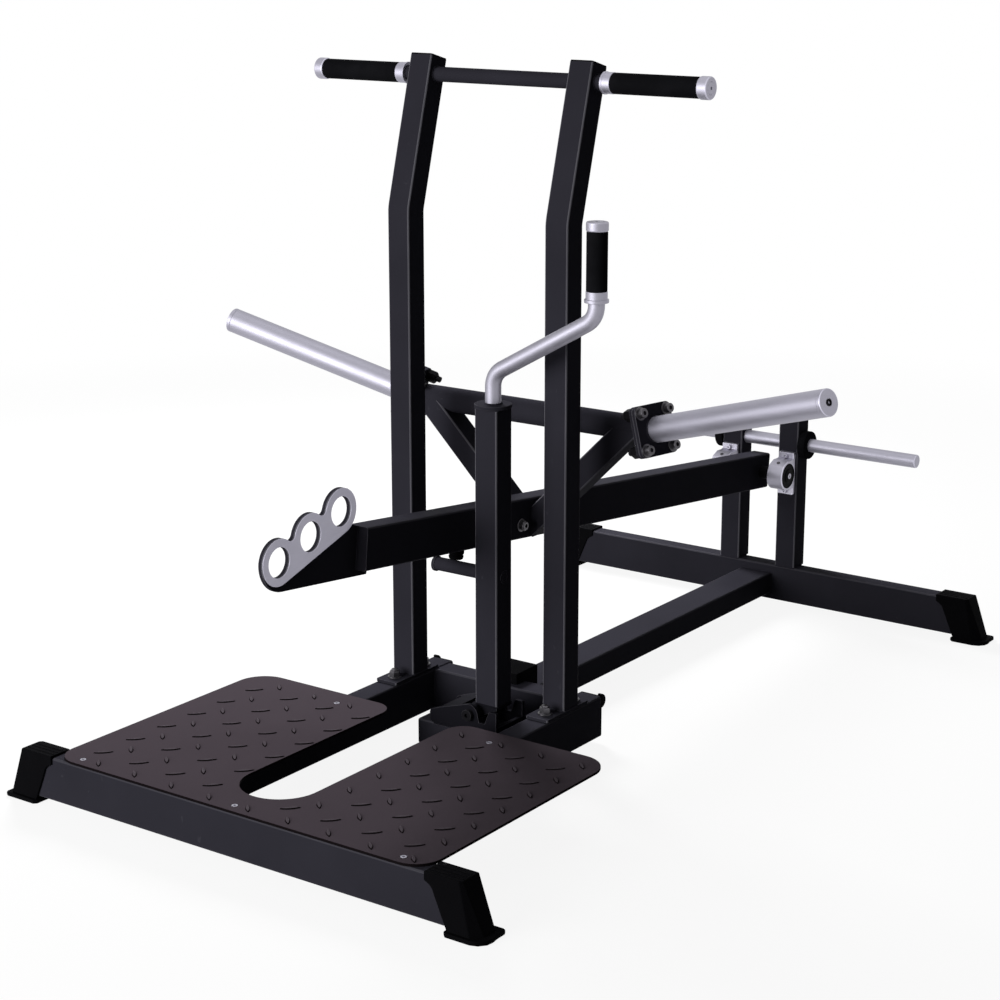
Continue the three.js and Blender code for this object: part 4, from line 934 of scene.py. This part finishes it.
hinge_x, hinge_z, boss, cheek_thick, cheek_right = 0.062, 0.1, 0.02, 0.008, 0.125
heel_x, heel_round = -0.022, 0.009
cheek_outline = (
    [(heel_x, stub_top), (cheek_right, stub_top), (cheek_right, 0.1125), (0.1235, 0.114), (0.1095, 0.114)]
    + [(0.108, 0.113), (0.0985, 0.0885), (0.0965, 0.088), (0.0855, 0.088)]
    + arc((hinge_x, hinge_z), boss, 0, 111.6, 18) + [(-0.009, 0.0995), (heel_x, 0.0945)]
    + arc((heel_x, 0.0855), heel_round, 100, 180, 8) + [(heel_x - heel_round, 0.075)]
    + arc((heel_x, 0.075), heel_round, 180, 270, 8)[1:-1]
)
cheek_bore = arc((hinge_x, hinge_z), 0.0084, 0, 350, 35)
clevis_shapes = [
    cut_plate(cheek_outline, cheek_thick, facing("y", (0, y, 0)), 0.0008, [cheek_bore])
    for y in (hinge_front + cheek_thick, hinge_rear)
]
cover_high, cover_rear, cover_sheet = 0.0995, 0.036, 0.005
cover_rise = (hinge_z + boss - cover_high) / (hinge_x + 0.009) * (cover_rear + cover_sheet)
cover_outline = [
    (-0.01, stub_top), (-0.005, stub_top), (-0.005, cover_high - cover_sheet),
    (cover_rear, cover_high - cover_sheet + cover_rise), (cover_rear, cover_high + cover_rise),
    (-0.0085, cover_high), (-0.01, cover_high - 0.0015),
]
cover_laid = facing("y", (0, -0.241, 0))
clevis_shapes += [
    cut_plate(cover_outline, 0.086, cover_laid, 0.0008),
    tube_bar((cheek_right - cheek_thick, -0.326, stub_top), (cheek_right, -0.242, 0.084), 1, 0.001),
]
clevis_shapes += [bead([(-0.02, y, stub_top), (0.123, y, stub_top)]) for y in (hinge_front, hinge_rear)]
clevis_shapes.append(bead([(cheek_right, -0.325, stub_top), (cheek_right, -0.243, stub_top)]))
# Painted shade: the hinge's cheeks and the support's barrel take a darker copy of the frame's coat, for the
# shade low down by the rail.
shaded_hinge_coat = powder_coat(
    "hinge_shaded_powder_coat", (0.0105, 0.0102, 0.0135), (0.075, 0.073, 0.085), 0.002)
piece("hinge_cheeks", clevis_shapes, shaded_hinge_coat, "frame", "hinge_clevis")

shank_end = -0.228
hinge_bolt = [
    turned(stepped(0, hinge_front, 0.008, shank_end, 0), (0, 1, 0), (hinge_x, 0, hinge_z), 32),
    socket_head(0.011, 0.009, 0.004, (0, -1, 0), (hinge_x, hinge_front, hinge_z)),
    hexagon_head(0.0125, 0.007, (0, 1, 0), (hinge_x, hinge_rear, hinge_z)),
]
piece("hinge_bolt_and_nut", hinge_bolt, sooty_steel, "frame", "hinge_bolt")


# Stop block: a moulded rubber block that sits over the mid beam's rear edge and catches the lever
# when it is let down.

block_front, block_edge, block_rear, block_low, block_top = -0.135, -0.1007, -0.062, 0.077, 0.118
stop_outline = stepped(
    block_front, beam_high, block_edge, block_low, block_rear, block_top, block_front)
stop_block = cut_plate(stop_outline, 0.07, facing("x", (-0.035, 0, 0)), 0.0022, segments=4)
rubber_block = rubbery("black_block_rubber", (0.003, 0.003, 0.0034), 420)
piece("lever_stop_rubber", [stop_block], rubber_block, "frame", "lever_stop_block")


# Weight lever: a tall box tube that turns on the pivot shaft and slopes up to its front end. Its
# rear end is closed by a plastic plug, and a bolt with a collar sits in its right side.

lever_side, lever_half, lever_tail = 0.023, 0.04, 0.032
rest_run, rest_rise = pivot_y - support_y, 0.0812
slope = math.atan2(rest_rise, rest_run) + math.asin(lever_half / math.hypot(rest_rise, rest_run))
lever_reach = 1.438 / math.cos(slope)
on_lever = Matrix.Translation((0, pivot_y, pivot_z)) @ Matrix.Rotation(-slope, 4, "X")


def laid_by(matrix, shape):
    bmesh.ops.transform(shape, matrix=matrix, verts=shape.verts)
    return shape


lever_tube = tube_bar((-lever_side, -lever_reach, -lever_half), (lever_side, lever_tail, lever_half), 1)
piece("lever_tube", [laid_by(on_lever, lever_tube)], coat, "lever", "lever_beam")
plug_outline = rounded(2 * lever_side, 2 * lever_half, 0.005)
lever_plug = cut_plate(plug_outline, 0.004, on_lever @ facing("y", (0, 0.0363, 0)), 0.0012, segments=3)
piece("lever_tube_plug", [lever_plug], plastic, "lever", "lever_rear_plug")

bolt_socket, bolt_foot = 0.0042, -0.001
bolt_profile = [(0, 0.008), (bolt_socket, 0.008)] + eased([
    (bolt_socket, 0.0128), (0.0075, 0.0132), (0.0098, 0.0105), (0.0098, 0.004), (0.0082, 0.0035),
    (0.0082, 0.0024), (0.013, 0.0024), (0.013, bolt_foot)], 0.0008) + [(0, bolt_foot)]
bolt_place = on_lever @ Vector((lever_side, -0.967, -0.0113))
side_bolt = turned(bolt_profile, (1, 0, 0), bolt_place, 48, bolt_socket)
piece("lever_side_bolt", [side_bolt], black_steel, "lever", "lever_beam")


# Pivot shaft: blackened round steel through the lever and both bearings, with a shoulder on each
# side of the lever and a bright retaining screw in each end.

shaft_radius, shoulder_radius, shaft_end, shoulder_out, shoulder_in = 0.01, 0.014, 0.0955, 0.042, 0.0233
shaft_profile = stepped(
    0, -shaft_end, shaft_radius, -shoulder_out, shoulder_radius, -shoulder_in, shaft_radius,
    shoulder_in, shoulder_radius, shoulder_out, shaft_radius, shaft_end, 0)
shaft = turned(eased(shaft_profile, 0.0008), (1, 0, 0), (0, pivot_y, pivot_z), 40)
piece("pivot_shaft_turned", [shaft], sooty_steel, "lever", "pivot_shaft")
shaft_ends = [
    socket_head(0.0062, 0.0015, 0.0026, (side, 0, 0), (side * shaft_end, pivot_y, pivot_z))
    for side in (-1, 1)
]
piece("pivot_end_screws", shaft_ends, zinc, "lever")


# Ring plates: a laser-cut black web with three belt rings, welded into the lever's front end, and
# a thin bright face plate of the same lobes on its right side.

ring_bore, lobe, pitch = 0.027, 0.042, 0.0875
ring_turn = 17.8 + math.degrees(slope)
valley, half_pitch = 0.019, pitch / 2
valley_round = (half_pitch ** 2 + valley ** 2 - lobe ** 2) / 2 / (lobe - valley)
valley_up = valley + valley_round
meet = math.degrees(math.atan2(valley_up, half_pitch))
first_ring = (-lever_reach - 0.2123, 0.0011)


def on_rings(along, up):
    turn = math.radians(ring_turn)
    return (
        first_ring[0] + along * math.cos(turn) - up * math.sin(turn),
        first_ring[1] + along * math.sin(turn) + up * math.cos(turn),
    )


ring_places = [on_rings(k * pitch, 0) for k in range(3)]


def lobed_edge(start, end):
    """The rings' upper edge from the rear lobe to the front one, hollow between the lobes."""
    edge = arc(ring_places[2], lobe, start, 180 - meet + ring_turn, 26)
    for k, lobe_end, cuts in ((1, 180 - meet + ring_turn, 14), (0, end, 34)):
        hollow = on_rings((k + 0.5) * pitch, valley_up)
        edge += arc(hollow, valley_round, ring_turn - meet, ring_turn - 180 + meet, 10)[1:-1]
        edge += arc(ring_places[k], lobe, meet + ring_turn, lobe_end, cuts)
    return edge


ring_bores = [arc(place, ring_bore, 0, 354, 59) for place in ring_places]
web_thick, web_low, nose_round = 0.008, -0.052, 0.0554
nose = (first_ring[0] + 0.0132, nose_round + web_low)
web_outline = lobed_edge(-39.3, 190) + arc(nose, nose_round, 191, 270, 16)
web_outline += [(along - lever_reach, up) for along, up in (
    (0.0305, web_low), (0.032, -0.0505), (0.032, -0.0402), (-0.0002, -0.0402), (-0.0002, lever_half))]
ring_web = cut_plate(web_outline, web_thick, on_lever @ facing("x", (-web_thick, 0, 0)), 0.0009, ring_bores)
web_welds = [
    laid_by(on_lever, bead([(x, -lever_reach, -0.037), (x, -lever_reach, 0.037)])) for x in (-0.0085, 0.0005)
]
piece("ring_web", [ring_web] + web_welds, coat, "lever", "ring_plate")

face_outline = lobed_edge(ring_turn - 90, ring_turn + 270)
backing_thick, bright_thick = 0.0018, 0.0012
ring_backing = cut_plate(face_outline, backing_thick, on_lever @ facing("x"), 0.0003, ring_bores)
piece("ring_face_backing", [ring_backing], coat, "lever", "ring_face_plate")
bright_laid = on_lever @ facing("x", (backing_thick, 0, 0))
ring_face = cut_plate(face_outline, bright_thick, bright_laid, 0.0009, ring_bores)
satin_along = metal("satin_steel_along", (0.38, 0.37, 0.435), 0.42, (1, 0.05, 1))
piece("ring_face", [ring_face], satin_along, "lever", "ring_face_plate")


# Rest pad: a round rubber bumper screwed under the lever, with a ridge around it. The lever rests
# with it on the support's pin.

pad_run = on_lever.inverted() @ Vector((0, support_y, 0.4045))
pad_profile = eased([
    (0, -0.02), (0.0105, -0.02), (0.0135, -0.018), (0.0145, -0.0125), (0.0132, -0.0115),
    (0.0132, -0.0095), (0.015, -0.0085), (0.015, -0.0003), (0, -0.0003)], 0.0012)
pad = laid_by(on_lever @ Matrix.Translation((0, pad_run.y, -lever_half)), turned(pad_profile, steps=40))
piece("lever_rest_bumper", [pad], rubber_block, "lever", "lever_rest_pad")


# Plate carrier: a round tube across the lever on two sloping square braces, with a square flange
# welded on each end. The flanges face outward, up and a little forward, as the horns do.

tube_y, tube_z, tube_round, tube_reach = -0.044, 0.62568, 0.0245, 0.279
flange_x, flange_thick = 0.277, 0.0075
horn_tilt, horn_sweep = math.radians(16.1), math.radians(12)


def at_horn(side):
    """The place and turn of one horn's foot: X runs out along the horn."""
    outward = Vector((
        side * math.cos(horn_tilt) * math.cos(horn_sweep),
        -math.cos(horn_tilt) * math.sin(horn_sweep),
        math.sin(horn_tilt),
    ))
    level = Vector((0, 0, 1)).cross(outward).normalized()
    turn = Matrix((outward, level, outward.cross(level))).transposed().to_4x4()
    return Matrix.Translation((side * flange_x, tube_y, tube_z)) @ turn


def bead_at_flange(place):
    """A bead around the carrier tube, where the leaning flange cuts it aslant."""
    outward = place.to_3x3() @ Vector((1, 0, 0))
    stations = []
    for a in (2 * math.pi * k / 74 for k in range(75)):
        ray = Vector((0, math.cos(a), math.sin(a))) * tube_round
        shift = -(ray.dot(outward)) / outward.x
        stations.append(Vector((place.translation.x + shift, tube_y, tube_z)) + ray)
    return rippled(stations, 0.0027)


flange_plan = rounded(0.097, 0.098, 0.012, cuts=8)
carrier = [turned([(tube_round, -tube_reach), (tube_round, tube_reach)], (1, 0, 0), (0, tube_y, tube_z), 64)]
for side in (-1, 1):
    place = at_horn(side)
    carrier += [cut_plate(flange_plan, flange_thick, place @ facing("x"), 0.0009), bead_at_flange(place)]
piece("carrier_cross_tube", carrier, coat, "lever", "carrier_tube")

under_z = pivot_z + (pivot_y - tube_y) * math.tan(slope) - lever_half / math.cos(slope)
brace_low, brace_top, brace_x, brace_deep = under_z + 0.002, tube_z - 0.02, 0.25, 0.046
brace_rise = math.atan2(brace_top - brace_low, brace_x - lever_side)
brace_foot_top = brace_low + brace_deep / math.cos(brace_rise)
brace_out = brace_x + 0.02 / math.tan(brace_rise)
brace_in = brace_out - brace_deep / math.sin(brace_rise)
for side, name in both_sides:
    bar = tube_bar((-0.4, -tube_half, -brace_deep / 2), (0.4, tube_half, brace_deep / 2), 0, 0.004)
    lift = Vector((-math.sin(brace_rise), 0, math.cos(brace_rise))) * (brace_deep / 2)
    middle = Vector(((lever_side + brace_x) / 2, tube_y, (brace_low + brace_top) / 2)) + lift
    laid_by(Matrix.Translation(middle) @ Matrix.Rotation(-brace_rise, 4, "Y"), bar)
    for level, away in (((0.0229, 0, 0), (-1, 0, 0)), ((0, 0, tube_z), (0, 0, 1))):
        whole = list(bar.verts) + list(bar.edges) + list(bar.faces)
        bmesh.ops.bisect_plane(bar, geom=whole, plane_co=level, plane_no=away, clear_outer=True)
        open_ends_closed(bar)
    foot_x, weld_low, weld_high = 0.0232, brace_low + 0.003, brace_foot_top - 0.003
    near_y, far_y, front_face = tube_y - 0.0235, tube_y + 0.0235, tube_y - 0.0251
    shapes = [bar] + [bead([(foot_x, y, weld_low), (foot_x, y, weld_high)]) for y in (near_y, far_y)]
    shapes.append(bead([(foot_x, near_y, brace_foot_top), (foot_x, far_y, brace_foot_top)]))
    shapes.append(bead([(brace_in, front_face, tube_z), (brace_out, front_face, tube_z)], 0.0016))
    if side < 0:
        for shape in shapes:
            laid_by(Matrix.Translation((0, 2 * tube_y, 0)) @ Matrix.Rotation(math.pi, 4, "Z"), shape)
    piece(f"{name}_brace_tube", shapes, coat, "lever", f"{name}_carrier_brace")


# Horns: satin steel tubes for plates with a 50 mm bore, each welded on a square flange that four
# socket bolts with wide washers hold to the carrier. A cap with a screw closes the outer end, and
# the seam between tube and cap shows as a fine groove.

horn_round, seam, cap_end, flange_in, flange_out = 0.025, 0.4313, 0.4394, 0.0078, 0.0153
horn_skin = [(0.02, 0.0156), (horn_round, 0.0156), (horn_round, seam - 0.0005)]
horn_skin += [(horn_round - 0.0005, seam), (horn_round, seam + 0.0005)]
horn_skin += eased(
    [(horn_round, seam + 0.0006), (horn_round, cap_end), (0.0078, cap_end)], 0.0025, 5)[1:]
horn_skin += [(0.0075, cap_end - 0.0008), (0, cap_end - 0.0008)]
bolt_tail = eased(stepped(0, 0, 0.006, 0.0288, 0), 0.0012)
bolt_places = [(u, v) for u in (-0.035, 0.035) for v in (-0.035, 0.035)]
for side, name in both_sides:
    place = at_horn(side)
    outward = place.to_3x3() @ Vector((1, 0, 0))
    flange = cut_plate(flange_plan, flange_thick, place @ facing("x", (flange_in, 0, 0)), 0.0009)
    foot_bead = ring_bead(place @ Vector((flange_out + 0.0002, 0, 0)), outward, 0.0255, 0.0026)
    piece(f"{name}_horn_plate", [flange, foot_bead], coat, "lever", f"{name}_horn_flange")
    bolts, nuts = [], []
    for u, v in bolt_places:
        seat, nut_seat = place @ Vector((flange_out, u, v)), place @ Vector((0, u, v))
        bolts += bolted(0.009, 0.0105, 0.0042, (0.013, 0.006, 0.0025), outward, seat)
        nuts += bolted(0.0125, 0.018, 0, (0.0125, 0.006, 0.002), -outward, nut_seat)
        nuts.append(turned(bolt_tail, -outward, place @ Vector((-0.0005, u, v)), 24))
    piece(f"{name}_horn_bolts", bolts, black_steel, "lever", f"{name}_horn_flange")
    piece(f"{name}_horn_nuts", nuts, sooty_steel, "lever", f"{name}_horn_flange")
    tube = turned(horn_skin, outward, place.translation, 72)
    grain_turn = tuple(place.to_3x3().inverted().to_euler())
    horn_steel = metal(f"satin_steel_{name}_horn", satin_tone, 0.42, (0.05, 1, 1), grain_turn)
    piece(f"{name}_horn_tube", [tube], horn_steel, "lever", f"{name}_horn")
    end_screw = socket_head(0.0064, 0.0022, 0.0034, outward, place @ Vector((cap_end - 0.001, 0, 0)))
    piece(f"{name}_horn_screw", [end_screw], sooty_steel, "lever")


# Support: a square post that swings sideways on its hinge, with a round cap on top and a pin that
# reaches under the lever. A barrel and a saddle are welded under it for the hinge bolt.

support_x, support_low, support_top, disc_top = 0.0855, 0.116, 0.689, 0.696
support_front, support_rear = support_y - tube_half, support_y + tube_half
post_tube = tube_bar(
    (support_x - tube_half, support_front, support_low),
    (support_x + tube_half, support_rear, support_top), 2, 0.004)
disc_weld = bead_round((support_x, support_y, support_top), "z", tube_half, tube_half)
piece("support_post_tube", [post_tube, disc_weld], coat, "support", "support_post")
disc_profile = eased(stepped(0, support_top, 0.035, disc_top, 0), 0.0018, 4)
post_disc = turned(disc_profile, (0, 0, 1), (support_x, support_y, 0), 64)
piece("support_post_disc", [post_disc], coat, "support", "support_post_cap")

pin_z, pin_radius, pin_end = 0.368, 0.013, 0.1115
pin_profile = stepped(0, -0.05, 0.015, -0.044, pin_radius, pin_end, 0.0085)
pin_profile += [(0.0078, pin_end - 0.0006), (0, pin_end - 0.0006)]
pin = turned(eased(pin_profile, 0.0012), (1, 0, 0), (0, support_y, pin_z))
pin_weld = ring_bead((support_x - tube_half, support_y, pin_z), (1, 0, 0), 0.0132)
piece("support_pin_turned", [pin, pin_weld], coat, "support", "support_pin")

barrel_front, barrel_rear, barrel_bore, barrel_round = -0.3225, -0.2455, 0.0084, 0.016
barrel_pipe = stepped(barrel_bore, barrel_front, barrel_round, barrel_rear, barrel_bore)
barrel = turned_ring(barrel_pipe, 0.0008, (0, 1, 0), (hinge_x, 0, hinge_z), 48)
saddle_outline = [
    (0.054, support_low), (0.054, hinge_z), (hinge_x, hinge_z), (0.076, 0.094), (0.1105, 0.11),
    (0.1105, support_low)]
saddle = cut_plate(saddle_outline, 2 * tube_half, facing("y", (0, support_rear, 0)), 0.0008)
foot_weld = bead_round((support_x, support_y, support_low), "z", tube_half, tube_half)
barrel_shapes = [barrel, saddle, foot_weld]
# The barrel and saddle wear the darker copy of the coat: painted shade.
piece("support_barrel", barrel_shapes, shaded_hinge_coat, "support", "support_hinge_barrel")


# Crank handle: a satin steel tube, bent twice, welded on the post's cap. A rubber grip sits on its
# upright end between a turned collar and an end cap.

crank_x, first_bend_z, second_bend_z, crank_end, crank_round = 0.3085, 0.751, 0.876, 1.026, 0.042
corners = ((support_x, disc_top), (support_x, first_bend_z), (crank_x, second_bend_z), (crank_x, crank_end))
path = [Vector((x, support_y, z)) for x, z in corners]
setback = crank_round * math.tan(Vector((0, 0, 1)).angle(path[2] - path[1]) / 2)
crank_line = [Vector(point) for point in eased(path, setback, 14)]
crank = swept(crank_line, 0.015, 40)
# A darker copy of the satin steel for the crank, its grain running upright: the lower tone is painted shade.
satin_upright = metal("satin_steel_upright", (0.325, 0.317, 0.37), 0.42, (1, 1, 0.05))
piece("crank_bent_tube", [crank], satin_upright, "support", "crank_tube")
crank_foot = ring_bead((support_x, support_y, disc_top), (0, 0, 1), 0.0153, 0.0024)
piece("crank_foot_weld", [crank_foot], coat, "support")

at_grip, upward, bore = (crank_x, support_y, 0), (0, 0, 1), 0.0159
sleeve_start, sleeve_end, knob_top = 0.925, 1.03, 1.047
lip = stepped(bore, 0.905, 0.022, 0.911, 0.0195, sleeve_start, bore)
collar = turned_ring(lip, 0.0009, upward, at_grip)
piece("crank_grip_collar", [collar], satin_upright, "support", "crank_collar")
sleeve = grip_sleeve(bore, sleeve_start, sleeve_end, upward, at_grip)
piece("crank_grip_rubber", [sleeve], rubber, "support", "crank_grip")
knob = stepped(0, sleeve_end, 0.02, knob_top, 0.0125)
center = [(0.0125, knob_top), (0.0115, 1.0462), (0.0105, knob_top), (0.0036, knob_top)]
center += [(0.0036, 1.0445), (0, 1.0445)]
end_cap = turned(eased(knob, 0.0032, 6)[:-1] + center, upward, at_grip, 64)
piece("crank_end_cap", [end_cap], satin_upright, "support", "crank_cap")
plug_screw = socket_head(0.0034, 0.0012, 0.0016, upward, (crank_x, support_y, 1.0446))
piece("crank_cap_screw", [plug_screw], sooty_steel, "support")
